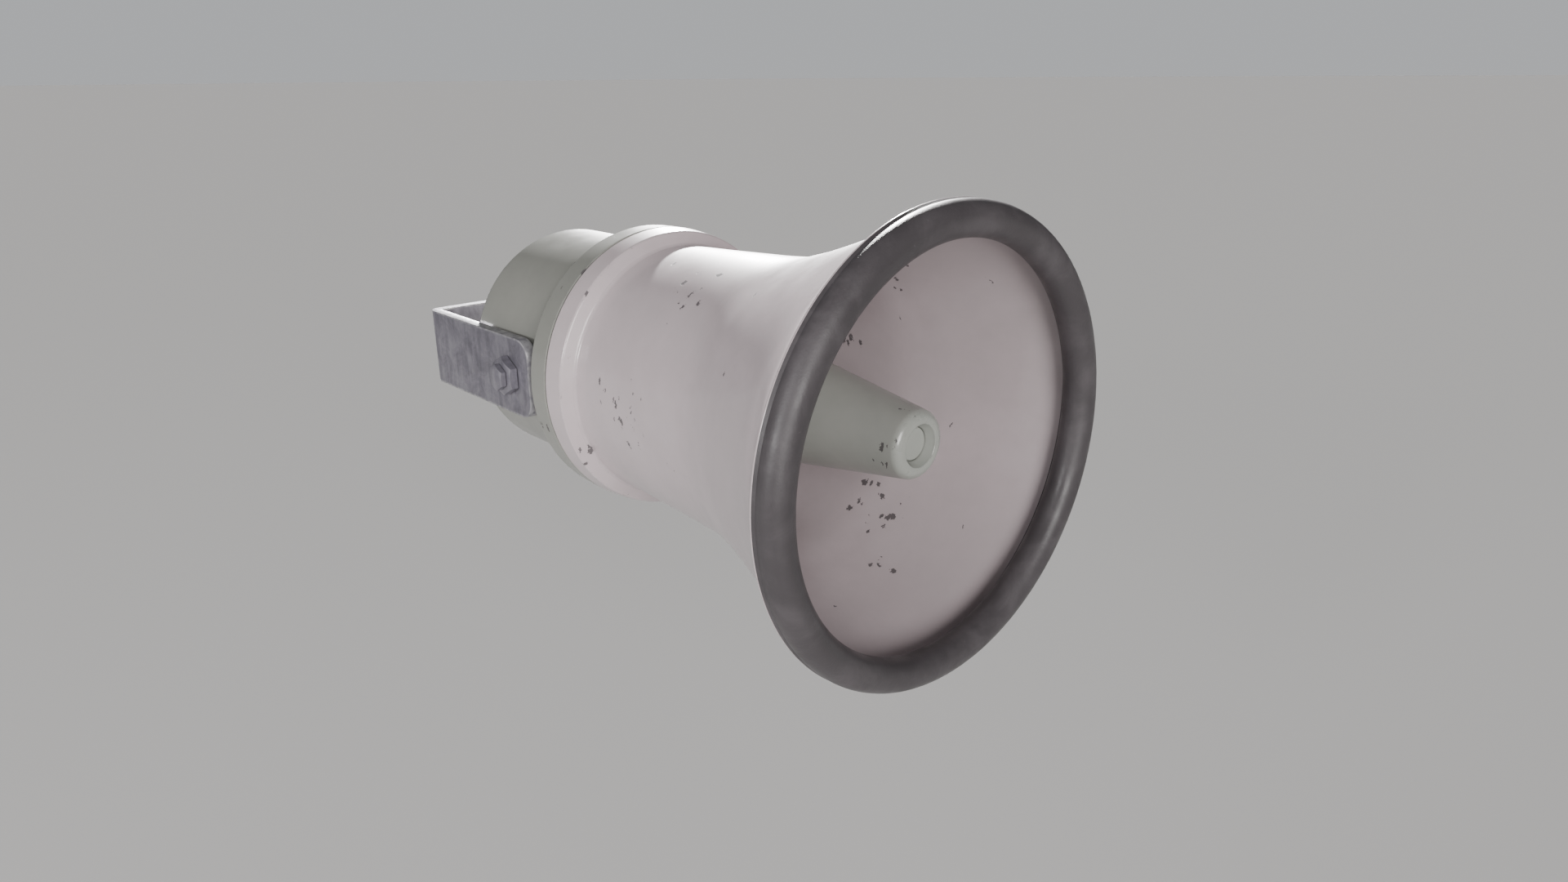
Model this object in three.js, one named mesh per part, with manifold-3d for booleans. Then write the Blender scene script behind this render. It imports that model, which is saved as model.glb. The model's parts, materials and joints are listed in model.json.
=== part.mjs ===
// A reflex (folded) horn loudspeaker on a steel U bracket, the kind bolted to a wall or a vehicle roof.
// Millimetres, +Z up. The bracket's flat back lies on the plane y = 0 and the horn's mouth faces -Y.
// Nearly every piece is turned about the horn's own axis, so a place along the horn is given as "out":
// the distance from the bracket's back towards the mouth (out = -y). "r" is a distance from that axis.

import * as THREE from 'three';
import { mergeVertices } from 'three/addons/utils/BufferGeometryUtils.js';
import Module from 'manifold-3d';

const wasm = await Module();
wasm.setup();

// ---------------------------------------------------------------- driving dimensions

const GAP = 0.3;               // air left between pieces that touch
const SHEET = 1.5;             // wall of the spun and pressed pieces
const SIDES = 40;              // facets round the large turned pieces
const MIDDLE_SIDES = 28;       // facets round the driver and the inner horn
const SMALL_SIDES = 16;        // facets round bars and bushes
const SCREW_SIDES = 10;        // facets round screws and their holes

const MOUTH_OUT = 340;         // centre plane of the rubber bead round the mouth
const MOUTH_R = 100;           // centre line of the bead
const BEAD_R = 7.9;            // the bead's own radius
const LIP_R = 107.9;           // edge of the bell
const LIP_OUT = 334.9;
const LIP_EDGE_BARE = 0.5;     // part of the lip's thickness that the bead leaves bare

const SEAM_OUT = 138.2;        // joint between rear cover and bell
const SEAM_HALF = 0.8;         // half the slot that the gasket fills
const FLANGE_R = 76.8;         // both flanges, at the seam
const NECK_R = 68.4;           // bell's body where it leaves its flange
const NECK_OUT = 155.6;

const COVER_BACK_OUT = 43;     // flat back of the rear cover
const COVER_R = 66.5;          // its drum
const COVER_STEP_OUT = 122.5;  // back face of its flange
const COVER_WALL = 1.8;

const PIVOT_OUT = 94;          // tilt axis, across the drum
const STRAP_WIDTH = 43.6;      // bracket strap, along Z
const STRAP_THICK = 5.5;
const STRAP_INNER_X = 67.5;    // inner face of each leg
const STRAP_FRONT_OUT = 115;   // rounded ends of the legs
const STRAP_OUTER_X = STRAP_INNER_X + STRAP_THICK;
const BUSH_HEAD_ACROSS = 19;   // hexagon against the leg, across its flats
const BUSH_HEAD_HEIGHT = 5;
const BOLT_HEAD_ACROSS = 13;   // smaller hexagon on top of it
const BOLT_HEAD_HEIGHT = 3.5;
const PIVOT_PAD_R = 17;        // flat pad on the drum behind each leg
const PIVOT_BOSS_R = 11;       // boss inside the drum round the insert

const NOSE_OUT = 325;          // front face of the reflector's nose
const NOSE_R = 16.2;           // its radius just behind the rounded tip
const REFLECTOR_BACK_OUT = 160;
const REFLECTOR_BACK_R = 39.6;
const TIP_ROUND = 4.5;         // rounding of the nose
const RECESS_R = 7.9;          // dished recess in the nose
const CAP_SEAT_OUT = 319.4;    // ledge that the cap rests on
const CAP_R = 7.6;
const NOSE_SCREW_HEAD_R = 4.2;
const NOSE_SCREW_SEAT_OUT = 316.4;
const NOSE_BACK_OUT = 313;     // back of the thick tip
const POST_R = 2.6;            // posts that carry the reflector's rear edge
const POST_COUNT = 3;

const BASE_BACK_OUT = SEAM_OUT + SEAM_HALF;   // back of the horn base and of the bell's skirt
const BASE_RIM_OUT = 145;                     // front of the base's thick rim
const BASE_FACE_OUT = 143;                    // front of its plate, which turns the sound forward
const TONE_ARM_OUT = 262;                     // open end of the tone arm
const TONE_ARM_R = 13.5;
const THROAT_R = 9;            // narrow end of the tone arm, at the driver
const BRIDGE_COLLAR_LENGTH = 12;
const BRIDGE_APEX_OUT = 300;   // where the bridge's legs meet its boss
const BRIDGE_BOSS_R = 5;

const TOP_PLATE_OUT = 131;     // front face of the driver's top plate
const TOP_PLATE_THICK = 5;
const DRIVER_R = 50;
const MAGNET_R = 40.8;
const MAGNET_BACK_OUT = 108.3;
const YOKE_R = 38;
const YOKE_THICK = 6;
const POLE_R = 16.3;
const COIL_INNER_R = 17;
const DIAPHRAGM_OUT = TOP_PLATE_OUT + 1.2;    // front of the diaphragm's flat rim
const DIAPHRAGM_THICK = 0.5;
const DOME_HEIGHT = 4;
const CLAMP_R = 26;                           // opening of the housing round the diaphragm

const SCREW_SHANK_R = 1.9;     // M4 screws
const SCREW_HOLE_R = 2.3;
const SCREW_HEAD_R = 3.9;
const SEAM_SCREW_RING_R = 71.2;
const SEAM_SCREW_COUNT = 4;
const SEAM_NUT_R = 3.1;
const SEAM_NUT_OUT = BASE_RIM_OUT + GAP;
const SEAM_NUT_DEPTH = 3.8;
const DRIVER_SCREW_RING_R = 45;
const DRIVER_SCREW_COUNT = 4;
const DRIVER_SCREW_HEAD_R = 3.6;
const SMALL_SCREW_R = 1.4;     // M3 screws in the transformer
const SMALL_HOLE_R = 1.7;

const BUSH_SHOULDER_R = 6;     // shoulder of the hexagon bush, turning in the leg
const BOLT_SHANK_R = 3.9;      // M8 pivot bolt
const INSERT_R = 7;            // threaded insert in the drum
const INSERT_INNER_X = 50.5;

const GLAND_Z = -40;           // cable gland, low on the back
const GLAND_THREAD_R = 6;
const GLAND_HEX = 17;          // across its flats
const GLAND_HEX_HEIGHT = 4.7;
const GLAND_END_OUT = 26.5;    // open end of its domed nut
const GLAND_NUT_OUT = 37.7;    // the nut's other end
const GLAND_BORE_R = 4;        // bore for the cable
const COVER_FLOOR_OUT = COVER_BACK_OUT + COVER_WALL + GAP;   // where pieces sit inside the cover

const TRANSFORMER_BACK_OUT = 54;
const TRANSFORMER_DEPTH = 12;
const CORE_HALF_X = 20;
const CORE_LOW_Z = -3;
const CORE_HIGH_Z = 31;
const CORE_LEG_HALF_X = 6.5;   // middle leg of the core
const CORE_LEG_END_X = 14;     // far side of each window
const CORE_WINDOW_LOW_Z = 4;
const CORE_WINDOW_HIGH_Z = 24;
const CORE_SCREW_MARGIN = 3;
const TERMINAL_Z = -21;
const TERMINAL_X = 6;

// ---------------------------------------------------------------- shape tools

/** Closed geometry to a manifold solid: position only, seams merged, slivers dropped, faces outward. */
function solidOf(geometry) {
  const bare = geometry.clone();
  for (const name of Object.keys(bare.attributes)) {
    if (name !== 'position') bare.deleteAttribute(name);
  }
  const merged = mergeVertices(bare, 1e-4);
  const place = merged.attributes.position;
  const corners = merged.index.array;
  const kept = [];
  for (let i = 0; i < corners.length; i += 3) {
    const [a, b, c] = corners.slice(i, i + 3);
    if (a !== b && b !== c && c !== a) kept.push([a, b, c]);
  }
  const at = (i) => new THREE.Vector3().fromBufferAttribute(place, i);
  const volume = kept.reduce((sum, [a, b, c]) => sum + at(a).dot(at(b).cross(at(c))), 0);
  const facing = volume < 0 ? kept.map(([a, b, c]) => [a, c, b]) : kept;
  const mesh = new wasm.Mesh({
    numProp: 3,
    vertProperties: Float32Array.from(place.array),
    triVerts: Uint32Array.from(facing.flat()),
  });
  return new wasm.Manifold(mesh);
}

const OVERSHOOT = 1;           // how far a cutting shape runs past the face that it cuts

const cut = (solid, ...tools) => tools.reduce((rest, tool) => rest.subtract(tool), solid);
const join = (solid, ...others) => others.reduce((whole, other) => whole.add(other), solid);

/** An outline of [r, out] points turned about the horn's axis. It ends on the axis or closes on itself. */
function turned(outline, sides = SIDES) {
  const points = outline.map(([r, out]) => new THREE.Vector2(r, -out));
  const onAxis = outline[0][0] === 0 && outline.at(-1)[0] === 0;
  if (!onAxis) points.push(points[0].clone());
  return solidOf(new THREE.LatheGeometry(points, sides));
}

/** Points of an arc in the [r, out] plane. 0 degrees points away from the axis, 90 towards the mouth. */
function arc(r, out, radius, fromDegrees, toDegrees, steps) {
  return Array.from({ length: steps + 1 }, (_, i) => {
    const angle = THREE.MathUtils.degToRad(fromDegrees + ((toDegrees - fromDegrees) * i) / steps);
    return [r + radius * Math.cos(angle), out + radius * Math.sin(angle)];
  });
}

/** The line beside an outline that runs towards the mouth, on its inner side. */
function beside(outline, distance) {
  return outline.map(([r, out], i) => {
    const [r0, out0] = outline[Math.max(i - 1, 0)];
    const [r1, out1] = outline[Math.min(i + 1, outline.length - 1)];
    const length = Math.hypot(r1 - r0, out1 - out0);
    return [r - (distance * (out1 - out0)) / length, out + (distance * (r1 - r0)) / length];
  });
}

/** A plain ring about the horn's axis. */
function ring(inner, outer, fromOut, toOut, sides = SMALL_SIDES) {
  return turned([[inner, fromOut], [outer, fromOut], [outer, toOut], [inner, toOut]], sides);
}

/** A round bar along the horn's axis, standing at (x, z). */
function bar(radius, fromOut, toOut, x = 0, z = 0, sides = SMALL_SIDES) {
  const geometry = new THREE.CylinderGeometry(radius, radius, toOut - fromOut, sides);
  geometry.translate(x, -(fromOut + toOut) / 2, z);
  return solidOf(geometry);
}

/** A hexagon along the horn's axis at (x, z), measured across its flats. */
function hexagon(acrossFlats, fromOut, toOut, x, z) {
  return bar(acrossFlats / Math.sqrt(3), fromOut, toOut, x, z, 6);
}

/** A round bar along X on the tilt axis. side is -1 or 1, and x is measured outwards on that side. */
function crossBar(radius, side, fromX, toX, sides = SMALL_SIDES) {
  const geometry = new THREE.CylinderGeometry(radius, radius, toX - fromX, sides);
  geometry.rotateZ(Math.PI / 2);
  geometry.translate((side * (fromX + toX)) / 2, -PIVOT_OUT, 0);
  return solidOf(geometry);
}

/** A hexagon on the tilt axis with a corner up, measured across its flats. */
function crossHexagon(acrossFlats, side, fromX, toX) {
  return crossBar(acrossFlats / Math.sqrt(3), side, fromX, toX, 6);
}

function block(x0, x1, out0, out1, z0, z1) {
  const geometry = new THREE.BoxGeometry(x1 - x0, out1 - out0, z1 - z0);
  geometry.translate((x0 + x1) / 2, -(out0 + out1) / 2, (z0 + z1) / 2);
  return solidOf(geometry);
}

/** Places spaced evenly on a circle round the horn's axis, as [x, z]. */
function aroundAxis(count, radius, firstDegrees) {
  return Array.from({ length: count }, (_, i) => {
    const angle = THREE.MathUtils.degToRad(firstDegrees + (360 * i) / count);
    return [radius * Math.cos(angle), radius * Math.sin(angle)];
  });
}

/** Cutting bars for screws at the given [x, z] places, through everything between two outs. */
function screwHoles(places, radius, fromOut, toOut) {
  return places.map(([x, z]) => bar(radius, fromOut - OVERSHOOT, toOut + OVERSHOOT, x, z, SCREW_SIDES));
}

const SEAM_SCREW_PLACES = aroundAxis(SEAM_SCREW_COUNT, SEAM_SCREW_RING_R, 45);
const DRIVER_SCREW_PLACES = aroundAxis(DRIVER_SCREW_COUNT, DRIVER_SCREW_RING_R, 0);
const POST_PLACES = aroundAxis(POST_COUNT, REFLECTOR_BACK_R - SHEET / 2, 90);
const TRANSFORMER_SCREW_PLACES = [
  [CORE_SCREW_MARGIN - CORE_HALF_X, CORE_LOW_Z + CORE_SCREW_MARGIN],
  [CORE_HALF_X - CORE_SCREW_MARGIN, CORE_HIGH_Z - CORE_SCREW_MARGIN],
];

const speaker = new THREE.Group();

/** Adds one named piece of the loudspeaker. */
function piece(name, solid, look) {
  const result = solid.getMesh();
  const geometry = new THREE.BufferGeometry();
  geometry.setAttribute('position', new THREE.BufferAttribute(result.vertProperties, 3));
  geometry.setIndex(new THREE.BufferAttribute(result.triVerts, 1));
  geometry.computeVertexNormals();
  const mesh = new THREE.Mesh(geometry, new THREE.MeshStandardMaterial(look));
  mesh.name = name;
  speaker.add(mesh);
}

// ---------------------------------------------------------------- finishes

const BELL_PAINT = { color: 0xd8d2cf, roughness: 0.4, metalness: 0 };
const GREY_PAINT = { color: 0x9b9f96, roughness: 0.45, metalness: 0 };
const RUBBER = { color: 0x1c1b1e, roughness: 0.7, metalness: 0 };
const GALVANISED = { color: 0x55525c, roughness: 0.5, metalness: 0.9 };
const BRIGHT_STEEL = { color: 0xa8a8a8, roughness: 0.35, metalness: 1 };
const CAST_ALUMINIUM = { color: 0x9a9c9e, roughness: 0.5, metalness: 1 };
const BLACK_PLASTIC = { color: 0x202022, roughness: 0.5, metalness: 0 };
const FERRITE = { color: 0x2a2a2c, roughness: 0.8, metalness: 0 };
const COPPER = { color: 0xb06a3a, roughness: 0.4, metalness: 1 };
const BRASS = { color: 0xb49a58, roughness: 0.4, metalness: 1 };
const AMBER_RESIN = { color: 0x6b4a2a, roughness: 0.6, metalness: 0 };

// ---------------------------------------------------------------- bracket and pivots

/** Flat strap bent into a U: a web against the wall and two legs that hold the drum between them. */
function bracket() {
  const half = STRAP_WIDTH / 2;
  const bend = 6.5;
  const endCorner = 10;
  const wallHoleX = 42;
  const wallHoleR = 4.5;

  const plan = new THREE.Shape();
  const corner = STRAP_OUTER_X - bend;
  plan.moveTo(STRAP_OUTER_X, -STRAP_FRONT_OUT);
  plan.lineTo(STRAP_OUTER_X, -bend);
  plan.absarc(corner, -bend, bend, 0, Math.PI / 2, false);
  plan.absarc(-corner, -bend, bend, Math.PI / 2, Math.PI, false);
  plan.lineTo(-STRAP_OUTER_X, -STRAP_FRONT_OUT);
  plan.lineTo(-STRAP_INNER_X, -STRAP_FRONT_OUT);
  plan.absarc(-corner, -bend, bend - STRAP_THICK, Math.PI, Math.PI / 2, true);
  plan.absarc(corner, -bend, bend - STRAP_THICK, Math.PI / 2, 0, true);
  plan.lineTo(STRAP_INNER_X, -STRAP_FRONT_OUT);
  const strap = new THREE.ExtrudeGeometry(plan, {
    depth: STRAP_WIDTH,
    bevelEnabled: false,
    curveSegments: 4,
  });
  strap.translate(0, 0, -half);

  const side = new THREE.Shape();
  side.moveTo(-OVERSHOOT, -half);
  side.lineTo(STRAP_FRONT_OUT - endCorner, -half);
  side.absarc(STRAP_FRONT_OUT - endCorner, -half + endCorner, endCorner, -Math.PI / 2, 0, false);
  side.absarc(STRAP_FRONT_OUT - endCorner, half - endCorner, endCorner, 0, Math.PI / 2, false);
  side.lineTo(-OVERSHOOT, half);
  const width = 2 * (STRAP_OUTER_X + OVERSHOOT);
  const roundEnds = new THREE.ExtrudeGeometry(side, {
    depth: width,
    bevelEnabled: false,
    curveSegments: 6,
  });
  roundEnds.applyMatrix4(new THREE.Matrix4().makeBasis(
    new THREE.Vector3(0, -1, 0),
    new THREE.Vector3(0, 0, 1),
    new THREE.Vector3(-1, 0, 0),
  ));
  roundEnds.translate(width / 2, 0, 0);

  const holes = [-1, 1].flatMap((s) => [
    bar(wallHoleR, -OVERSHOOT, STRAP_THICK + OVERSHOOT, s * wallHoleX),
    crossBar(BUSH_SHOULDER_R + GAP, s, STRAP_INNER_X - OVERSHOOT, STRAP_OUTER_X + OVERSHOOT),
  ]);
  return cut(solidOf(strap).intersect(solidOf(roundEnds)), ...holes);
}

/** Hexagon-headed bush whose shoulder turns in the leg's hole. The bolt runs through it. */
function pivotBush(side) {
  const headX = STRAP_OUTER_X + GAP;
  const topX = headX + BUSH_HEAD_HEIGHT;
  const head = crossHexagon(BUSH_HEAD_ACROSS, side, headX, topX);
  const shoulder = crossBar(BUSH_SHOULDER_R, side, STRAP_INNER_X, headX + 1);
  const bore = crossBar(BOLT_SHANK_R + GAP, side, STRAP_INNER_X - OVERSHOOT, topX + OVERSHOOT);
  return cut(join(head, shoulder), bore);
}

/** M8 bolt with a low hexagon head, screwed through the bush into the insert. */
function pivotBolt(side) {
  const headX = STRAP_OUTER_X + BUSH_HEAD_HEIGHT + 2 * GAP;
  const shank = crossBar(BOLT_SHANK_R, side, INSERT_INNER_X + 1.5, headX + 1);
  return join(crossHexagon(BOLT_HEAD_ACROSS, side, headX, headX + BOLT_HEAD_HEIGHT), shank);
}

/** Threaded steel insert set in the drum's boss. */
function pivotInsert(side) {
  const outerX = STRAP_INNER_X - 2 * GAP;
  const body = crossBar(INSERT_R, side, INSERT_INNER_X, outerX);
  return cut(body, crossBar(BOLT_SHANK_R + GAP, side, INSERT_INNER_X - OVERSHOOT, outerX + OVERSHOOT));
}

// ---------------------------------------------------------------- rear cover and seam

/** Drum-shaped cover over the driver, with a widened rim that meets the bell at the seam. */
function rearCover() {
  const edge = 4;
  const wall = COVER_WALL;
  const rimOut = SEAM_OUT - SEAM_HALF;
  const stepR = FLANGE_R - 1.6;
  const drumInner = COVER_R - wall;
  const stepInnerOut = COVER_STEP_OUT + wall;
  const shell = turned([
    [0, COVER_BACK_OUT],
    ...arc(COVER_R - edge, COVER_BACK_OUT + edge, edge, -90, 0, 3),
    [COVER_R, COVER_STEP_OUT - 0.5],
    [COVER_R + 0.5, COVER_STEP_OUT],
    ...arc(stepR, COVER_STEP_OUT + 1.2, 1.2, -90, 0, 2),
    [FLANGE_R, rimOut],
    [FLANGE_R - wall, rimOut],
    [stepR + 1.2 - wall, stepInnerOut],
    [drumInner, stepInnerOut],
    ...arc(COVER_R - edge, COVER_BACK_OUT + edge, edge - wall, 0, -90, 2),
    [0, COVER_BACK_OUT + wall],
  ]);
  const bosses = [];
  const holes = [bar(GLAND_THREAD_R + GAP, COVER_BACK_OUT - OVERSHOOT, COVER_FLOOR_OUT, 0, GLAND_Z)];
  for (const [x, z] of SEAM_SCREW_PLACES) {
    bosses.push(bar(SCREW_HEAD_R, COVER_STEP_OUT + wall / 2, rimOut - GAP, x, z));
    holes.push(bar(SCREW_HOLE_R, COVER_STEP_OUT - OVERSHOOT, rimOut + OVERSHOOT, x, z));
  }
  for (const [x, z] of TRANSFORMER_SCREW_PLACES) {
    const blindEnd = COVER_BACK_OUT + 2.5;
    bosses.push(bar(3.5, COVER_BACK_OUT + 1, TRANSFORMER_BACK_OUT - GAP, x, z, SCREW_SIDES));
    holes.push(bar(SMALL_HOLE_R, blindEnd, TRANSFORMER_BACK_OUT, x, z, SCREW_SIDES));
  }
  for (const side of [-1, 1]) {
    const bossInnerX = INSERT_INNER_X - 0.5;
    bosses.push(crossBar(PIVOT_PAD_R, side, COVER_R - 4, STRAP_INNER_X - GAP, MIDDLE_SIDES));
    bosses.push(crossBar(PIVOT_BOSS_R, side, bossInnerX, COVER_R - 3));
    holes.push(crossBar(INSERT_R + GAP, side, bossInnerX - OVERSHOOT, STRAP_INNER_X + OVERSHOOT));
  }
  return cut(join(shell, ...bosses), ...holes);
}

/** Soft ring squeezed in the seam, a little below the flanges' surface. */
function seamGasket() {
  const half = SEAM_HALF - GAP;
  const flat = ring(62, FLANGE_R - 1, SEAM_OUT - half, SEAM_OUT + half, SIDES);
  const holes = screwHoles(SEAM_SCREW_PLACES, SCREW_HOLE_R + GAP, SEAM_OUT - half, SEAM_OUT + half);
  return cut(flat, ...holes);
}

/** Pan-headed screw from the back of the cover's flange to its nut behind the bell's shoulder. */
function seamScrew([x, z]) {
  const seat = COVER_STEP_OUT - GAP;
  const head = turned([
    [0, seat - 2.6],
    [SCREW_HEAD_R - 1.3, seat - 2.6],
    [SCREW_HEAD_R, seat - 1.4],
    [SCREW_HEAD_R, seat],
    [0, seat],
  ], SMALL_SIDES);
  const shank = bar(SCREW_SHANK_R, seat - 1, SEAM_NUT_OUT + SEAM_NUT_DEPTH, x, z, SCREW_SIDES);
  return join(head.translate([x, 0, z]), shank);
}

/** Round nut clinched to the inside of the bell's shoulder. */
function seamNut(place) {
  const end = SEAM_NUT_OUT + SEAM_NUT_DEPTH;
  const body = bar(SEAM_NUT_R, SEAM_NUT_OUT, end, ...place, SCREW_SIDES);
  return cut(body, ...screwHoles([place], SCREW_HOLE_R, SEAM_NUT_OUT, end));
}

// ---------------------------------------------------------------- cable gland

/** Body of the gland: a hexagon outside the cover and a thread that runs through it, bored for the cable. */
function glandBody() {
  const seat = COVER_BACK_OUT - GAP;
  const threadEnd = COVER_BACK_OUT + 9;
  const hex = hexagon(GLAND_HEX, seat - GLAND_HEX_HEIGHT, seat, 0, GLAND_Z);
  const thread = bar(GLAND_THREAD_R, GLAND_END_OUT + 4.5, threadEnd, 0, GLAND_Z);
  const bore = bar(GLAND_BORE_R, GLAND_END_OUT, threadEnd + OVERSHOOT, 0, GLAND_Z);
  return cut(join(hex, thread), bore);
}

/** Domed nut that squeezes the seal round the cable. */
function glandNut() {
  const end = GLAND_END_OUT;
  const start = end - OVERSHOOT;
  const past = GLAND_NUT_OUT + OVERSHOOT;
  const dome = turned([
    [0, end],
    [6, end],
    [8.4, end + 2.4],
    [9.6, end + 4.5],
    [9.6, GLAND_NUT_OUT],
    [0, GLAND_NUT_OUT],
  ], SMALL_SIDES);
  const body = dome.translate([0, 0, GLAND_Z]).intersect(hexagon(GLAND_HEX, start, past, 0, GLAND_Z));
  const room = bar(GLAND_THREAD_R + GAP, end + 2.8, past, 0, GLAND_Z);
  return cut(body, room, bar(GLAND_BORE_R, start, past, 0, GLAND_Z));
}

/** Rubber washer in the gland. */
function glandSeal() {
  return ring(3.4, 5.9, GLAND_END_OUT + 3.1, GLAND_END_OUT + 4.2).translate([0, 0, GLAND_Z]);
}

/** Nut inside the cover. */
function glandLocknut() {
  const top = COVER_FLOOR_OUT + 4;
  const hole = bar(GLAND_THREAD_R + GAP, COVER_FLOOR_OUT - OVERSHOOT, top + OVERSHOOT, 0, GLAND_Z);
  return cut(hexagon(GLAND_HEX, COVER_FLOOR_OUT, top, 0, GLAND_Z), hole);
}

// ---------------------------------------------------------------- horn

/** Outside of the bell: flange skirt, shoulder, slightly tapering body and flared mouth, back to front. */
function bellOutline() {
  const shoulder = [
    [FLANGE_R, BASE_BACK_OUT],
    ...arc(FLANGE_R - 2.5, 149.7, 1.6, 0, 70, 3),
    ...arc(NECK_R + 2.5, NECK_OUT, 2.5, -110, -180, 3),
  ];
  const flare = new THREE.SplineCurve([
    [NECK_R, NECK_OUT],
    [70.3, 200],
    [72.9, 243],
    [78, 266],
    [84.7, 287],
    [92.9, 309],
    [101.2, 326],
    [LIP_R, LIP_OUT],
  ].map(([r, out]) => new THREE.Vector2(r, out)));
  return [...shoulder, ...flare.getPoints(10).slice(1).map(({ x, y }) => [x, y])];
}

/** Spun bell with its flange skirt, all one sheet. */
function bell() {
  const outside = bellOutline();
  return turned([...outside, ...beside(outside, SHEET).reverse()]);
}

/** Rubber bead seated on the bell's inner face, with a small hook over the edge of its lip. */
function rimBead() {
  const [from, lip] = bellOutline().slice(-2).map(([r, out]) => new THREE.Vector2(r, out));
  const forward = lip.clone().sub(from).normalize();
  const inward = new THREE.Vector2(-forward.y, forward.x);
  const near = (corner, inwards, forwards) => (
    corner.clone().addScaledVector(inward, inwards).addScaledVector(forward, forwards).toArray()
  );
  return turned([
    ...arc(MOUTH_R, MOUTH_OUT, BEAD_R, -12, 258, 9),
    near(from, SHEET + GAP, 0),
    near(lip, SHEET + GAP, GAP),
    near(lip, LIP_EDGE_BARE, GAP),
  ]);
}

/** Cast base: the plate that turns the sound forward, with the tone arm that carries it to the nose. */
function hornBase() {
  const solid = turned([
    [THROAT_R, BASE_BACK_OUT],
    [FLANGE_R - 2.5, BASE_BACK_OUT],
    [FLANGE_R - 2.5, BASE_RIM_OUT],
    [NECK_R - 2.4, BASE_RIM_OUT],
    [NECK_R - 4.4, BASE_FACE_OUT],
    ...arc(17.5, BASE_FACE_OUT + 6, 6, -90, -180, 3),
    [TONE_ARM_R, TONE_ARM_OUT],
    [TONE_ARM_R - SHEET, TONE_ARM_OUT],
  ], MIDDLE_SIDES);
  const places = [...SEAM_SCREW_PLACES, ...DRIVER_SCREW_PLACES];
  return cut(solid, ...screwHoles(places, SCREW_HOLE_R, BASE_BACK_OUT, BASE_RIM_OUT));
}

/** Post between the base and the reflector's rear edge. */
function reflectorPost([x, z]) {
  return bar(POST_R, BASE_FACE_OUT + GAP, REFLECTOR_BACK_OUT - GAP, x, z, SCREW_SIDES);
}

/** Cone closed at the front, which turns the sound back, with a recess in its nose for the screw and cap. */
function reflector() {
  return turned([
    [REFLECTOR_BACK_R, REFLECTOR_BACK_OUT],
    ...arc(NOSE_R - TIP_ROUND, NOSE_OUT - TIP_ROUND, TIP_ROUND, 8, 90, 5),
    [RECESS_R + 1.9, NOSE_OUT],
    [RECESS_R, CAP_SEAT_OUT + 1.5],
    [RECESS_R, CAP_SEAT_OUT],
    [NOSE_SCREW_HEAD_R + 0.8, CAP_SEAT_OUT],
    [NOSE_SCREW_HEAD_R + 0.8, NOSE_SCREW_SEAT_OUT],
    [SCREW_HOLE_R, NOSE_SCREW_SEAT_OUT],
    [SCREW_HOLE_R, NOSE_BACK_OUT],
    [NOSE_R - 1, NOSE_BACK_OUT],
    [REFLECTOR_BACK_R - SHEET, REFLECTOR_BACK_OUT],
  ], MIDDLE_SIDES);
}

/** Flat disc over the nose screw. */
function noseCap() {
  const seat = CAP_SEAT_OUT + GAP;
  const top = seat + 1.1;
  return turned([[0, seat], [CAP_R, seat], [CAP_R, top - 0.4], [CAP_R - 0.6, top], [0, top]], SMALL_SIDES);
}

/** Screw that pulls the reflector onto the bridge. */
function noseScrew() {
  const seat = NOSE_SCREW_SEAT_OUT + GAP;
  const length = 20;
  const head = bar(NOSE_SCREW_HEAD_R, seat, seat + 2.3);
  return join(head, bar(SCREW_SHANK_R, seat - length, seat + 1, 0, 0, SCREW_SIDES));
}

/** Three-legged bridge on the end of the tone arm, with the boss that takes the nose screw. */
function reflectorBridge() {
  const collarR = TONE_ARM_R + 2.3;
  const collarBack = TONE_ARM_OUT - BRIDGE_COLLAR_LENGTH;
  const collar = ring(TONE_ARM_R + GAP, collarR, collarBack, TONE_ARM_OUT, MIDDLE_SIDES);
  const bossBack = BRIDGE_APEX_OUT - 15;
  const boss = bar(BRIDGE_BOSS_R, bossBack, NOSE_BACK_OUT - GAP);
  const thickness = 2.4;
  const legInnerR = TONE_ARM_R + 0.7;
  const legOuterR = collarR - 0.4;
  const legShape = new THREE.Shape([
    [legInnerR, collarBack],
    [legOuterR, collarBack],
    [legOuterR, TONE_ARM_OUT],
    [BRIDGE_BOSS_R - 1, BRIDGE_APEX_OUT],
    [BRIDGE_BOSS_R - 1, bossBack + 1],
    [legInnerR, TONE_ARM_OUT],
  ].map(([r, out]) => new THREE.Vector2(r, -out)));
  const legs = [0, 1, 2].map((i) => {
    const leg = new THREE.ExtrudeGeometry(legShape, { depth: thickness, bevelEnabled: false });
    leg.translate(0, 0, -thickness / 2);
    leg.rotateY((i * 2 * Math.PI) / 3);
    return solidOf(leg);
  });
  return cut(join(collar, boss, ...legs), ...screwHoles([[0, 0]], SCREW_HOLE_R, bossBack, NOSE_BACK_OUT));
}

// ---------------------------------------------------------------- driver

/** Bullet in the throat on three fins, with the ring that holds it in the driver housing. */
function phasePlug() {
  const back = BASE_BACK_OUT - 1.8;
  const front = BASE_BACK_OUT - GAP;
  const bullet = turned([
    [0, back],
    [6, back],
    [6.2, back + 4],
    [5, back + 12],
    [2, back + 19],
    [0, back + 20],
  ], SMALL_SIDES);
  const seat = ring(THROAT_R + 0.6, 13, BASE_BACK_OUT - 2.6, front);
  const finInnerR = 4.5;
  const finOuterR = 11;
  const fins = [0, 1, 2].map((i) => {
    const fin = new THREE.BoxGeometry(finOuterR - finInnerR, front - back, 1.2);
    fin.translate((finInnerR + finOuterR) / 2, -(front + back) / 2, 0);
    fin.rotateY((i * 2 * Math.PI) / 3);
    return solidOf(fin);
  });
  return join(bullet, seat, ...fins);
}

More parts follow.
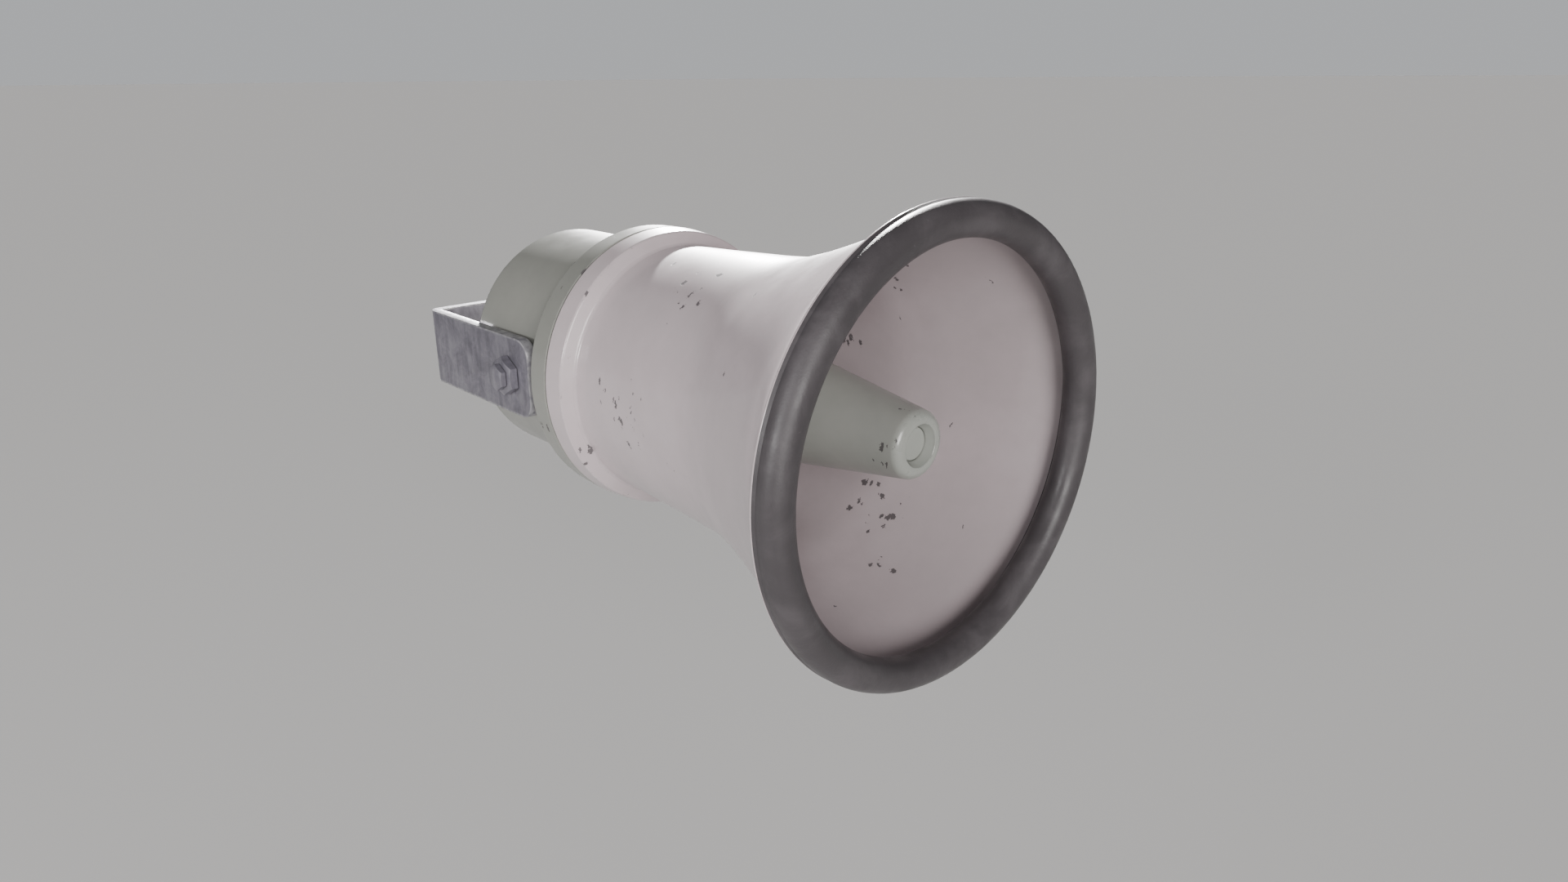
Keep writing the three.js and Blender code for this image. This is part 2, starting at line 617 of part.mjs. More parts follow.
/** Ring that clamps the diaphragm and spaces the driver from the base. */
function driverHousing() {
  const back = TOP_PLATE_OUT + GAP;
  const front = BASE_BACK_OUT - GAP;
  const solid = turned([
    [CLAMP_R, back],
    [DRIVER_R, back],
    [DRIVER_R, front],
    [13.3, front],
    [13.3, front - 2.1],
    [20, front - 3.5],
    [CLAMP_R, front - 4.5],
  ], MIDDLE_SIDES);
  return cut(solid, ...screwHoles(DRIVER_SCREW_PLACES, SCREW_HOLE_R, back, front));
}

/** Thin dome with a rolled surround. It moves with the voice coil. */
function diaphragm() {
  const surround = [
    [CLAMP_R - 0.7, DIAPHRAGM_OUT],
    [CLAMP_R - 1.7, DIAPHRAGM_OUT],
    [CLAMP_R - 4.6, DIAPHRAGM_OUT + 1],
    [COIL_INNER_R + 1.5, DIAPHRAGM_OUT],
  ];
  const steps = 5;
  const dome = Array.from({ length: steps + 1 }, (_, i) => {
    const share = (steps - i) / steps;
    return [COIL_INNER_R * share, DIAPHRAGM_OUT + DOME_HEIGHT * (1 - share ** 2)];
  });
  const front = [...surround, ...dome];
  const back = front.map(([r, out]) => [r, out - DIAPHRAGM_THICK]).reverse();
  return turned([...back, ...front], MIDDLE_SIDES);
}

/** Winding on its former, hanging in the magnet's gap. */
function voiceCoil() {
  const front = DIAPHRAGM_OUT - DIAPHRAGM_THICK - GAP;
  return ring(COIL_INNER_R, COIL_INNER_R + 1.2, TOP_PLATE_OUT - 6.5, front, MIDDLE_SIDES);
}

/** Steel plate in front of the magnet, round the coil. */
function topPlate() {
  const back = TOP_PLATE_OUT - TOP_PLATE_THICK;
  const plate = ring(COIL_INNER_R + 2, DRIVER_R, back, TOP_PLATE_OUT, MIDDLE_SIDES);
  return cut(plate, ...screwHoles(DRIVER_SCREW_PLACES, SCREW_HOLE_R, back, TOP_PLATE_OUT));
}

/** Ring magnet behind the plate. */
function magnet() {
  return ring(22, MAGNET_R, MAGNET_BACK_OUT, TOP_PLATE_OUT - TOP_PLATE_THICK - GAP, MIDDLE_SIDES);
}

/** Back plate and pole piece in one. */
function yoke() {
  const front = MAGNET_BACK_OUT - GAP;
  const back = front - YOKE_THICK;
  return turned([
    [0, back],
    [YOKE_R, back],
    [YOKE_R, front],
    [POLE_R, front],
    [POLE_R, TOP_PLATE_OUT],
    [0, TOP_PLATE_OUT],
  ], MIDDLE_SIDES);
}

/** Screw through the top plate and the housing into the base. */
function driverScrew(place) {
  const seat = TOP_PLATE_OUT - TOP_PLATE_THICK - GAP;
  const head = bar(DRIVER_SCREW_HEAD_R, seat - 2.8, seat, ...place, SCREW_SIDES);
  return join(head, bar(SCREW_SHANK_R, seat - 1, BASE_FACE_OUT + 0.5, ...place, SCREW_SIDES));
}

// ---------------------------------------------------------------- line transformer and terminals

/** Stack of steel laminations with two windows. */
function transformerCore() {
  const back = TRANSFORMER_BACK_OUT;
  const front = back + TRANSFORMER_DEPTH;
  const stack = block(-CORE_HALF_X, CORE_HALF_X, back, front, CORE_LOW_Z, CORE_HIGH_Z);
  const windows = [[-CORE_LEG_END_X, -CORE_LEG_HALF_X], [CORE_LEG_HALF_X, CORE_LEG_END_X]].map(([x0, x1]) => (
    block(x0, x1, back - OVERSHOOT, front + OVERSHOOT, CORE_WINDOW_LOW_Z, CORE_WINDOW_HIGH_Z)
  ));
  return cut(stack, ...windows, ...screwHoles(TRANSFORMER_SCREW_PLACES, SMALL_HOLE_R, back, front));
}

/** Winding round the core's middle leg. */
function transformerCoil() {
  const back = TRANSFORMER_BACK_OUT;
  const front = back + TRANSFORMER_DEPTH;
  const build = 4;
  const halfX = CORE_LEG_END_X - GAP;
  const legX = CORE_LEG_HALF_X + GAP;
  const low = CORE_WINDOW_LOW_Z + GAP;
  const high = CORE_WINDOW_HIGH_Z - GAP;
  const winding = block(-halfX, halfX, back - build, front + build, low, high);
  return cut(winding, block(-legX, legX, back - GAP, front + GAP, low - OVERSHOOT, high + OVERSHOOT));
}

/** Screw through the core into its boss on the cover. */
function transformerScrew(place) {
  const seat = TRANSFORMER_BACK_OUT + TRANSFORMER_DEPTH + GAP;
  const head = bar(2.7, seat, seat + 1.8, ...place, SCREW_SIDES);
  return join(head, bar(SMALL_SCREW_R, COVER_BACK_OUT + 3, seat + 1, ...place, SCREW_SIDES));
}

/** Insulating block with two wells for the clamping screws. */
function terminalBlock() {
  const half = 6;
  const back = COVER_FLOOR_OUT;
  const top = back + 2 * half;
  const body = block(-2 * half, 2 * half, back, top, TERMINAL_Z - half, TERMINAL_Z + half);
  const wells = [-1, 1].map((side) => (
    bar(2.3, back + 5, top + OVERSHOOT, side * TERMINAL_X, TERMINAL_Z, SCREW_SIDES)
  ));
  return cut(body, ...wells);
}

/** Clamping screw in one of the wells. */
function terminalScrew(side) {
  const foot = COVER_FLOOR_OUT + 5 + GAP;
  return bar(2, foot, COVER_FLOOR_OUT + 11, side * TERMINAL_X, TERMINAL_Z, SCREW_SIDES);
}

// ---------------------------------------------------------------- assembly

piece('bracket', bracket(), GALVANISED);
for (const [name, side] of [['left', -1], ['right', 1]]) {
  piece(`pivot_bush_${name}`, pivotBush(side), GALVANISED);
  piece(`pivot_bolt_${name}`, pivotBolt(side), GALVANISED);
  piece(`pivot_insert_${name}`, pivotInsert(side), BRIGHT_STEEL);
}

piece('rear_cover', rearCover(), GREY_PAINT);
piece('seam_gasket', seamGasket(), RUBBER);
SEAM_SCREW_PLACES.forEach((place, i) => {
  piece(`seam_screw_${i + 1}`, seamScrew(place), BRIGHT_STEEL);
  piece(`seam_nut_${i + 1}`, seamNut(place), BRIGHT_STEEL);
});
piece('gland_body', glandBody(), BLACK_PLASTIC);
piece('gland_nut', glandNut(), BLACK_PLASTIC);
piece('gland_seal', glandSeal(), RUBBER);
piece('gland_locknut', glandLocknut(), BLACK_PLASTIC);

piece('bell', bell(), BELL_PAINT);
piece('rim_bead', rimBead(), RUBBER);
piece('horn_base', hornBase(), CAST_ALUMINIUM);
POST_PLACES.forEach((place, i) => {
  piece(`reflector_post_${i + 1}`, reflectorPost(place), CAST_ALUMINIUM);
});
piece('reflector', reflector(), GREY_PAINT);
piece('nose_cap', noseCap(), GREY_PAINT);
piece('nose_screw', noseScrew(), BRIGHT_STEEL);
piece('reflector_bridge', reflectorBridge(), CAST_ALUMINIUM);

piece('phase_plug', phasePlug(), BLACK_PLASTIC);
piece('driver_housing', driverHousing(), BLACK_PLASTIC);
piece('diaphragm', diaphragm(), AMBER_RESIN);
piece('voice_coil', voiceCoil(), COPPER);
piece('top_plate', topPlate(), BRIGHT_STEEL);
piece('magnet', magnet(), FERRITE);
piece('yoke', yoke(), BRIGHT_STEEL);
DRIVER_SCREW_PLACES.forEach((place, i) => {
  piece(`driver_screw_${i + 1}`, driverScrew(place), BRIGHT_STEEL);
});

piece('transformer_core', transformerCore(), BRIGHT_STEEL);
piece('transformer_coil', transformerCoil(), COPPER);
TRANSFORMER_SCREW_PLACES.forEach((place, i) => {
  piece(`transformer_screw_${i + 1}`, transformerScrew(place), BRIGHT_STEEL);
});
piece('terminal_block', terminalBlock(), BLACK_PLASTIC);
[-1, 1].forEach((side, i) => {
  piece(`terminal_screw_${i + 1}`, terminalScrew(side), BRASS);
});

export default speaker;
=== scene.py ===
import json
import math

import bmesh
import bpy
from mathutils import Matrix, Quaternion, Vector


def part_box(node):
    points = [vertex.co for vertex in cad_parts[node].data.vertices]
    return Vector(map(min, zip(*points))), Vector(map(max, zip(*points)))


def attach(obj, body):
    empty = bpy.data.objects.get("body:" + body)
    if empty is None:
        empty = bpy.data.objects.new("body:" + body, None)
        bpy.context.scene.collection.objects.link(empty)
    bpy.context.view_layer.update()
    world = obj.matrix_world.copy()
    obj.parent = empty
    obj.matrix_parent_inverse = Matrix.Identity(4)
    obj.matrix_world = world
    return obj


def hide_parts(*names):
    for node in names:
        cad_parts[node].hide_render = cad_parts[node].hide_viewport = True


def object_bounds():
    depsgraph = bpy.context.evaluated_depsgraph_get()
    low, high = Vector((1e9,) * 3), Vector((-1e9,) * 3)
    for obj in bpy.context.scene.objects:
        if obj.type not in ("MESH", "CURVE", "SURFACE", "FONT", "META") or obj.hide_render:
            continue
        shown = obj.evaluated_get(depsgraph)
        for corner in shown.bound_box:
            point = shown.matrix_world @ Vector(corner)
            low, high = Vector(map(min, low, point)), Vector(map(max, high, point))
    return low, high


# A reflex horn loudspeaker on a U bracket: a spun bell, a drum over the driver and a strap that lets it tilt.
# The horn's axis runs along Y. "out" is the distance from the bracket's flat back towards the mouth (-y), and
# "r" is a distance from that axis. Outlines list (r, out) in millimetres; the scene itself is in metres.

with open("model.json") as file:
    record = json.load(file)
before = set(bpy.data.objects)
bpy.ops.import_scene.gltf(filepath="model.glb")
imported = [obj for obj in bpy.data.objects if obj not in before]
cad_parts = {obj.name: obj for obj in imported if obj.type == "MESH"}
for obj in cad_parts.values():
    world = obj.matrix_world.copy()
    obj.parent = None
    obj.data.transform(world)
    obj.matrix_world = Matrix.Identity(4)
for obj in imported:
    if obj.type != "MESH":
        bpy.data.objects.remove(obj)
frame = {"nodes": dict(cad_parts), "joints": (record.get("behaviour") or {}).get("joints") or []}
cad_low, cad_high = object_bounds()


# ---------------------------------------------------------------- camera
# It looks into the mouth from the front left and a little above, close enough for a wide lens.

CAMERA_PLACE = Vector((-0.3413, -0.6094, 0.1565))
CAMERA_AZIMUTH = math.radians(-42.43)
CAMERA_ELEVATION = math.radians(19.24)
CAMERA_ROLL = math.radians(-0.39)
CAMERA_LENS_MM = 24.44

away = Vector((
    math.sin(CAMERA_AZIMUTH) * math.cos(CAMERA_ELEVATION),
    -math.cos(CAMERA_AZIMUTH) * math.cos(CAMERA_ELEVATION),
    math.sin(CAMERA_ELEVATION),
))
camera = bpy.data.objects.new("camera", bpy.data.cameras.new("camera"))
camera.data.lens = CAMERA_LENS_MM
camera.data.sensor_width = 36.0
camera.data.clip_start = 0.01
camera.rotation_mode = "QUATERNION"
camera.location = CAMERA_PLACE
camera.rotation_quaternion = (-away).to_track_quat("-Z", "Y") @ Quaternion((0, 0, 1), CAMERA_ROLL)
bpy.context.scene.collection.objects.link(camera)
bpy.context.scene.camera = camera


# ---------------------------------------------------------------- studio
# A pale floor under the lowest place that the tilted mouth reaches, and pale air all round. A hard key from
# behind on the right rims the top, a broad fill comes from the front left, and a soft box streaks the side.

FLOOR_GAP = 0.03
FLOOR_R = 60.0
FLOOR_SIDES = 64
PAPER = (0.25, 0.248, 0.246, 1)
AIR_STRENGTH = 0.12
BACKDROP_STRENGTH = 0.50

tilt = next(joint for joint in frame["joints"] if joint["name"] == "bracket_tilt")
pivot = Vector(tilt["pos_m"])
mouth_low, mouth_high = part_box("rim_bead")
floor_z = -math.hypot(pivot.y - mouth_low.y, mouth_high.z) - FLOOR_GAP
floor_mesh = bpy.data.meshes.new("studio_floor")
floor_turns = [2 * math.pi * i / FLOOR_SIDES for i in range(FLOOR_SIDES)]
floor_rim = [(FLOOR_R * math.cos(turn), FLOOR_R * math.sin(turn), floor_z) for turn in floor_turns]
floor_mesh.from_pydata(floor_rim, [], [tuple(range(FLOOR_SIDES))])
floor_paper = bpy.data.materials.new("studio_paper")
floor_paper.use_nodes = True
paper_shader = floor_paper.node_tree.nodes["Principled BSDF"]
paper_shader.inputs["Base Color"].default_value = PAPER
paper_shader.inputs["Roughness"].default_value = 1.0
paper_shader.inputs["Specular IOR Level"].default_value = 0.0
floor_mesh.materials.append(floor_paper)
floor = bpy.data.objects.new("studio_floor", floor_mesh)
bpy.context.scene.collection.objects.link(floor)

world = bpy.data.worlds.new("studio_air")
world.use_nodes = True
air_tree = world.node_tree
air = air_tree.nodes["Background"]
air.inputs["Color"].default_value = (0.95, 0.97, 1.0, 1)
seen = air_tree.nodes.new("ShaderNodeLightPath").outputs["Is Camera Ray"]
air_level = air_tree.nodes.new("ShaderNodeMapRange")
air_level.inputs["To Min"].default_value = AIR_STRENGTH
air_level.inputs["To Max"].default_value = BACKDROP_STRENGTH
air_tree.links.new(seen, air_level.inputs["Value"])
air_tree.links.new(air_level.outputs["Result"], air.inputs["Strength"])
bpy.context.scene.world = world

middle = (cad_low + cad_high) / 2


def lamp(name, kind, direction, power, spread, colour, distance=2.2):
    """A sun, with its spread in degrees, or a square soft box, with its side in metres, facing the horn."""
    light = bpy.data.lights.new(name, kind)
    light.energy = power
    light.color = colour
    if kind == "SUN":
        light.angle = math.radians(spread)
    else:
        light.size = spread
    holder = bpy.data.objects.new(name, light)
    holder.location = middle + Vector(direction).normalized() * distance
    holder.rotation_mode = "QUATERNION"
    holder.rotation_quaternion = (middle - holder.location).to_track_quat("-Z", "Y")
    bpy.context.scene.collection.objects.link(holder)


lamp("lamp_behind", "SUN", (0.60, 0.71, 0.37), 14.0, 3.0, (1.0, 0.985, 0.975))
lamp("lamp_front", "SUN", (-0.44, -0.87, 0.23), 2.5, 30.0, (1.0, 0.98, 0.965))
lamp("lamp_strip", "AREA", (-0.95, -0.16, 0.26), 11.0, 0.26, (1.0, 1.0, 1.0), 1.5)


# ---------------------------------------------------------------- bracket
# A flat steel strap, bent into a U round the drum and hot-dip galvanised, so that it is mottled and streaked.
# Its web is bolted to the wall through two holes, and each leg holds a pivot.

MM = 0.001
STRAP_THICK = 5.5
STRAP_BEND = 6.5
LEG_END_ROUND = 10.0
WALL_HOLE_X = 42.0
WALL_HOLE_R = 4.5
PIVOT_HOLE_R = 6.3
STRAP_EDGE_ROUND = 0.6
CUT_PAST = 2.0
SHARP_OVER_DEGREES = 32
EASED_OVER_DEGREES = 40
ZINC_DARK = (0.165, 0.155, 0.185)
ZINC_LIGHT = (0.345, 0.33, 0.375)
ZINC_SPANGLE = (0.42, 0.40, 0.44)
ZINC_STAIN = (0.065, 0.058, 0.066)
# Light zinc where the strap's edges are rubbed. It also paints in the highlight that the top edges catch.
ZINC_RUBBED_AND_HIGHLIT = (0.56, 0.55, 0.57)

bracket_low, bracket_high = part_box("bracket")
strap_half = bracket_high.z / MM
strap_front = -bracket_low.y / MM
strap_outer = bracket_high.x / MM
pivot_out = -pivot.y / MM


def arc(r, out, radius, from_degrees, to_degrees, steps):
    """Points round (r, out). 0 degrees points away from the axis and 90 towards the mouth."""
    turns = [math.radians(from_degrees + (to_degrees - from_degrees) * i / steps) for i in range(steps + 1)]
    return [(r + radius * math.cos(turn), out + radius * math.sin(turn)) for turn in turns]


def new_piece(name, mesh):
    piece = bpy.data.objects.new(name, mesh)
    bpy.context.scene.collection.objects.link(piece)
    return piece


def from_bmesh(name, work):
    """A piece with one closed, outward-facing body, from bmesh geometry in millimetres."""
    bmesh.ops.remove_doubles(work, verts=work.verts, dist=0.001)
    bmesh.ops.recalc_face_normals(work, faces=work.faces)
    if work.calc_volume(signed=True) < 0:
        bmesh.ops.reverse_faces(work, faces=work.faces)
    bmesh.ops.scale(work, vec=(MM, MM, MM), verts=work.verts)
    mesh = bpy.data.meshes.new(name)
    work.to_mesh(mesh)
    work.free()
    return new_piece(name, mesh)


def slab(name, outline, depth, stand):
    """A flat outline given a thickness, in millimetres. stand is the 4x4 matrix that stands it in place."""
    work = bmesh.new()
    face = work.faces.new([work.verts.new((x, y, 0)) for x, y in outline])
    grown = bmesh.ops.extrude_face_region(work, geom=[face])
    raised = [part for part in grown["geom"] if isinstance(part, bmesh.types.BMVert)]
    bmesh.ops.translate(work, vec=(0, 0, depth), verts=raised)
    bmesh.ops.transform(work, matrix=stand, verts=work.verts)
    return from_bmesh(name, work)


def rod(name, radius, start, end, sides=48):
    """A round bar, or with six sides a hexagon, between two points in millimetres, with a corner up."""
    line = Vector(end) - Vector(start)
    across = Vector((0, 0, 1)) if abs(line.normalized().z) < 0.9 else Vector((1, 0, 0))
    beside_it = line.normalized().cross(across)
    basis = Matrix((beside_it, across, line.normalized())).transposed().to_4x4()
    turns = [2 * math.pi * i / sides for i in range(sides)]
    corners = [(radius * math.sin(turn), radius * math.cos(turn)) for turn in turns]
    return slab(name, corners, line.length, Matrix.Translation(Vector(start)) @ basis)


def settle(piece):
    """Turns the evaluated piece into one plain mesh and drops its modifiers."""
    evaluated = piece.evaluated_get(bpy.context.evaluated_depsgraph_get())
    mesh = bpy.data.meshes.new_from_object(evaluated)
    piece.modifiers.clear()
    piece.data = mesh
    return piece


def worked(piece, operation, tools):
    """Cuts (DIFFERENCE), joins (UNION) or trims (INTERSECT) the piece with each tool, and drops them."""
    for tool in tools:
        step = piece.modifiers.new(operation.lower(), "BOOLEAN")
        step.operation = operation
        step.solver = "EXACT"
        step.object = tool
    settle(piece)
    for tool in tools:
        bpy.data.objects.remove(tool)
    return piece


def eased(piece, width, segments=3):
    """Rounds the sharp edges by width, in millimetres."""
    bevel = piece.modifiers.new("eased", "BEVEL")
    bevel.width = width * MM
    bevel.segments = segments
    bevel.limit_method = "ANGLE"
    bevel.angle_limit = math.radians(EASED_OVER_DEGREES)
    bevel.harden_normals = True
    return settle(piece)


def finished(piece, material, slot, body, *nodes):
    """Smooth shading, the finish, and the CAD nodes that the piece stands for."""
    piece.data.materials.clear()
    piece.data.materials.append(material)
    piece.data.shade_smooth()
    piece.data.set_sharp_from_angle(angle=math.radians(SHARP_OVER_DEGREES))
    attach(piece, body)
    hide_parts(*nodes)
    return piece


def put(tree, kind, feeds=None, **settings):
    """One shader node. feeds gives its inputs, each a value or another node's output."""
    node = tree.nodes.new(kind)
    for setting, value in settings.items():
        setattr(node, setting, value)
    for socket, value in (feeds or {}).items():
        if isinstance(value, bpy.types.NodeSocket):
            tree.links.new(value, node.inputs[socket])
        else:
            node.inputs[socket].default_value = value
    return node


def figure(tree, operation, *values):
    return put(tree, "ShaderNodeMath", dict(enumerate(values)), operation=operation).outputs[0]


def between(tree, value, low, high, to_low=0.0, to_high=1.0):
    """Eases from one level to another as value goes from low to high."""
    feeds = {"Value": value, "From Min": low, "From Max": high, "To Min": to_low, "To Max": to_high}
    return put(tree, "ShaderNodeMapRange", feeds, interpolation_type="SMOOTHSTEP").outputs["Result"]


def tinted(tree, share, first, second):
    """A colour between two, each an (r, g, b) or another node's output."""
    colours = [c if isinstance(c, bpy.types.NodeSocket) else (*c, 1.0) for c in (first, second)]
    return put(tree, "ShaderNodeMix", {0: share, 6: colours[0], 7: colours[1]}, data_type="RGBA").outputs[2]


def stretched(tree, place, scale, turn=(0.0, 0.0, 0.0)):
    """The same pattern drawn out along an axis where scale is below 1."""
    feeds = {"Vector": place, "Scale": scale, "Rotation": turn}
    return put(tree, "ShaderNodeMapping", feeds).outputs["Vector"]


def cloud(tree, place, size_mm, detail=3.0, roughness=0.55, warp=0.0):
    """Soft noise whose patches are about size_mm across."""
    feeds = {"Vector": place, "Scale": 1000.0 / size_mm, "Detail": detail}
    feeds.update({"Roughness": roughness, "Distortion": warp})
    return put(tree, "ShaderNodeTexNoise", feeds).outputs["Fac"]


def start_finish(name, roughness, metallic=0.0, **fixed):
    """A new material. Returns it with its node tree, its shader and the object's own coordinates."""
    material = bpy.data.materials.new(name)
    material.use_nodes = True
    tree = material.node_tree
    shader = tree.nodes["Principled BSDF"]
    shader.inputs["Roughness"].default_value = roughness
    shader.inputs["Metallic"].default_value = metallic
    for socket, value in fixed.items():
        shader.inputs[socket.replace("_", " ")].default_value = value
    place = put(tree, "ShaderNodeTexCoord").outputs["Object"]
    return material, tree, shader, place


def raise_surface(tree, shader, height, distance_mm, strength):
    feeds = {"Height": height, "Distance": distance_mm * MM, "Strength": strength}
    tree.links.new(put(tree, "ShaderNodeBump", feeds).outputs["Normal"], shader.inputs["Normal"])


def attribute(tree, name):
    """A level kept on the mesh, and 0 on a piece without it."""
    return put(tree, "ShaderNodeAttribute", attribute_name=name).outputs["Fac"]


def weathered_zinc(name, worn_and_highlit_strap=False):
    """Old galvanising: patches of dark and light spangle, streaks down them, and bright rubbed edges with
    painted highlight.
    """
    material, tree, shader, place = start_finish(name, 0.5, 0.62)
    patches = cloud(tree, place, 15, 9, 0.68, 0.7)
    streaks = cloud(tree, stretched(tree, place, (1.0, 1.0, 0.22)), 5, 6, 0.6)
    spangle = cloud(tree, place, 2.2, 4, 0.7)
    patch_share = figure(tree, "MULTIPLY", patches, 0.62)
    blend = figure(tree, "ADD", patch_share, figure(tree, "MULTIPLY", streaks, 0.38))
    tone = between(tree, blend, 0.33, 0.70)
    skin = tinted(tree, tone, ZINC_DARK, ZINC_LIGHT)
    skin = tinted(tree, between(tree, spangle, 0.55, 0.8, 0.0, 0.35), skin, ZINC_SPANGLE)
    stain = between(tree, cloud(tree, stretched(tree, place, (1.3, 1.0, 0.5)), 9, 8, 0.7, 1.0), 0.6, 0.74)
    skin = tinted(tree, figure(tree, "MULTIPLY", stain, 0.42), skin, ZINC_STAIN)
    edge_and_corner_mask = attribute(tree, "edge")
    # On the strap the band covers every edge face and the rims of the leg ends: rubbed zinc, plus painted
    # highlight for the lit top edges.
    if worn_and_highlit_strap:
        apart = put(tree, "ShaderNodeSeparateXYZ", {"Vector": place})
        along = figure(tree, "MULTIPLY", apart.outputs["Y"], -1.0)
        along = figure(tree, "SUBTRACT", along, (strap_front - LEG_END_ROUND) * MM)
        across = figure(tree, "ABSOLUTE", apart.outputs["Z"])
        across = figure(tree, "SUBTRACT", across, (strap_half - LEG_END_ROUND) * MM)
        past = [figure(tree, "MAXIMUM", distance, 0.0) for distance in (along, across)]
        squares = [figure(tree, "MULTIPLY", distance, distance) for distance in past]
        reach = figure(tree, "SQRT", figure(tree, "ADD", *squares))
        edge_and_corner_mask = between(tree, reach, (LEG_END_ROUND - 1.5) * MM, (LEG_END_ROUND - 0.3) * MM)
    bite = between(tree, cloud(tree, place, 3.5, 4), 0.35, 0.62, 0.25, 1.0)
    edge_and_corner_mask = figure(tree, "MULTIPLY", edge_and_corner_mask, bite)
    # Lightens the zinc there: rubbed wear and painted highlight together.
    skin = tinted(tree, figure(tree, "MULTIPLY", edge_and_corner_mask, 0.75), skin, ZINC_RUBBED_AND_HIGHLIT)
    tree.links.new(skin, shader.inputs["Base Color"])
    dull = between(tree, tone, 0.0, 1.0, 0.58, 0.42)
    dull = figure(tree, "SUBTRACT", dull, figure(tree, "MULTIPLY", edge_and_corner_mask, 0.12))
    tree.links.new(dull, shader.inputs["Roughness"])
    lumps = figure(tree, "ADD", figure(tree, "MULTIPLY", spangle, 0.4), patches)
    raise_surface(tree, shader, lumps, 0.35, 0.55)
    return material


plan_corner = strap_outer - STRAP_BEND
inner_bend = STRAP_BEND - STRAP_THICK
strap_outside = [
    (strap_outer, -strap_front),
    *arc(plan_corner, -STRAP_BEND, STRAP_BEND, 0, 90, 12),
    *arc(-plan_corner, -STRAP_BEND, STRAP_BEND, 90, 180, 12),
    (-strap_outer, -strap_front),
]
strap_inside = [
    (-strap_outer + STRAP_THICK, -strap_front),
    *arc(-plan_corner, -STRAP_BEND, inner_bend, 180, 90, 6),
    *arc(plan_corner, -STRAP_BEND, inner_bend, 90, 0, 6),
    (strap_outer - STRAP_THICK, -strap_front),
]
lowered = Matrix.Translation((0, 0, -strap_half))
bracket = slab("bracket_strap", strap_outside + strap_inside, 2 * strap_half, lowered)
leg_side = [
    (-1, -strap_half),
    *arc(strap_front - LEG_END_ROUND, LEG_END_ROUND - strap_half, LEG_END_ROUND, -90, 0, 14),
    *arc(strap_front - LEG_END_ROUND, strap_half - LEG_END_ROUND, LEG_END_ROUND, 0, 90, 14),
    (-1, strap_half),
]
across_strap = Matrix(((0, 0, -1, strap_outer + 1), (-1, 0, 0, 0), (0, 1, 0, 0), (0, 0, 0, 1)))
leg_trim = slab("leg_trim", leg_side, 2 * (strap_outer + 1), across_strap)
worked(bracket, "INTERSECT", [leg_trim])
strap_holes = []
for side in (-1, 1):
    wall_x = side * WALL_HOLE_X
    wall_ends = [(wall_x, y, 0) for y in (CUT_PAST, -STRAP_THICK - CUT_PAST)]
    strap_holes.append(rod("wall_hole", WALL_HOLE_R, *wall_ends))
    leg_reach = (-STRAP_THICK - CUT_PAST, CUT_PAST)
    leg_ends = [(side * (strap_outer + reach), -pivot_out, 0) for reach in leg_reach]
    strap_holes.append(rod("pivot_hole", PIVOT_HOLE_R, *leg_ends))
worked(bracket, "DIFFERENCE", strap_holes)
eased(bracket, STRAP_EDGE_ROUND)
strap_zinc = weathered_zinc("galvanised_strap", worn_and_highlit_strap=True)
finished(bracket, strap_zinc, "galvanised_steel", "bracket", "bracket")


# ---------------------------------------------------------------- pivots
# On each side a hexagon bush turns in the leg's hole, and an M8 bolt with a smaller head runs through it into
# an insert in the drum. Both are galvanised steel bar, and are slackened to tilt the horn.

BUSH_FLATS = 19.0
BOLT_FLATS = 13.0
BUSH_SHOULDER_R = 6.0
BOLT_SHANK_R = 3.9
BUSH_HEAD = (73.3, 78.3)
BOLT_HEAD = (78.6, 82.1)
BOLT_END_X = 52.0
HEAD_CONE_SLOPE = 0.55
HEAD_CHAMFER = 0.3
HEAD_FACE_INSET = 0.5
HEAD_FACETS = 96
PLAY = 0.3


def loft(name, rows, looped):
    """Skin over rings of as many points each. It joins up with itself, or gets a cap at each end."""
    work = bmesh.new()
    rings = [[work.verts.new(point) for point in row] for row in rows]
    for first, second in zip(rings, rings[1:] + (rings[:1] if looped else [])):
        for i in range(len(first)):
            work.faces.new((first[i - 1], first[i], second[i], second[i - 1]))
    if not looped:
        work.faces.new(rings[0])
        work.faces.new(rings[-1])
    return from_bmesh(name, work)


def hexagon_head(name, flats, side, from_x, to_x, behind, within=()):
    """A hexagon on the tilt axis, a corner up, its outer corners turned off by a cone as on a bolt head.

    behind and within list the round rings, as (x, r), that come before its back and after its outer face.
    """
    turns = [2 * math.pi * i / HEAD_FACETS for i in range(HEAD_FACETS)]
    reach = [flats / 2 / math.cos(turn % (math.pi / 3) - math.pi / 6) for turn in turns]
    face_r = flats / 2 - HEAD_FACE_INSET
    sections = [[(x, r)] * HEAD_FACETS for x, r in behind]
    sections.append([(from_x, r - HEAD_CHAMFER) for r in reach])
    sections.append([(from_x + HEAD_CHAMFER, r) for r in reach])
    sections.append([(to_x - (r - face_r) * HEAD_CONE_SLOPE, r) for r in reach])
    sections += [[(x, r)] * HEAD_FACETS for x, r in ((to_x, face_r), *within)]
    rows = []
    for section in sections:
        spots = zip(turns, section)
        rows.append([
            (side * x, -pivot_out + r * math.sin(turn), r * math.cos(turn)) for turn, (x, r) in spots
        ])
    return loft(name, rows, looped=bool(within))


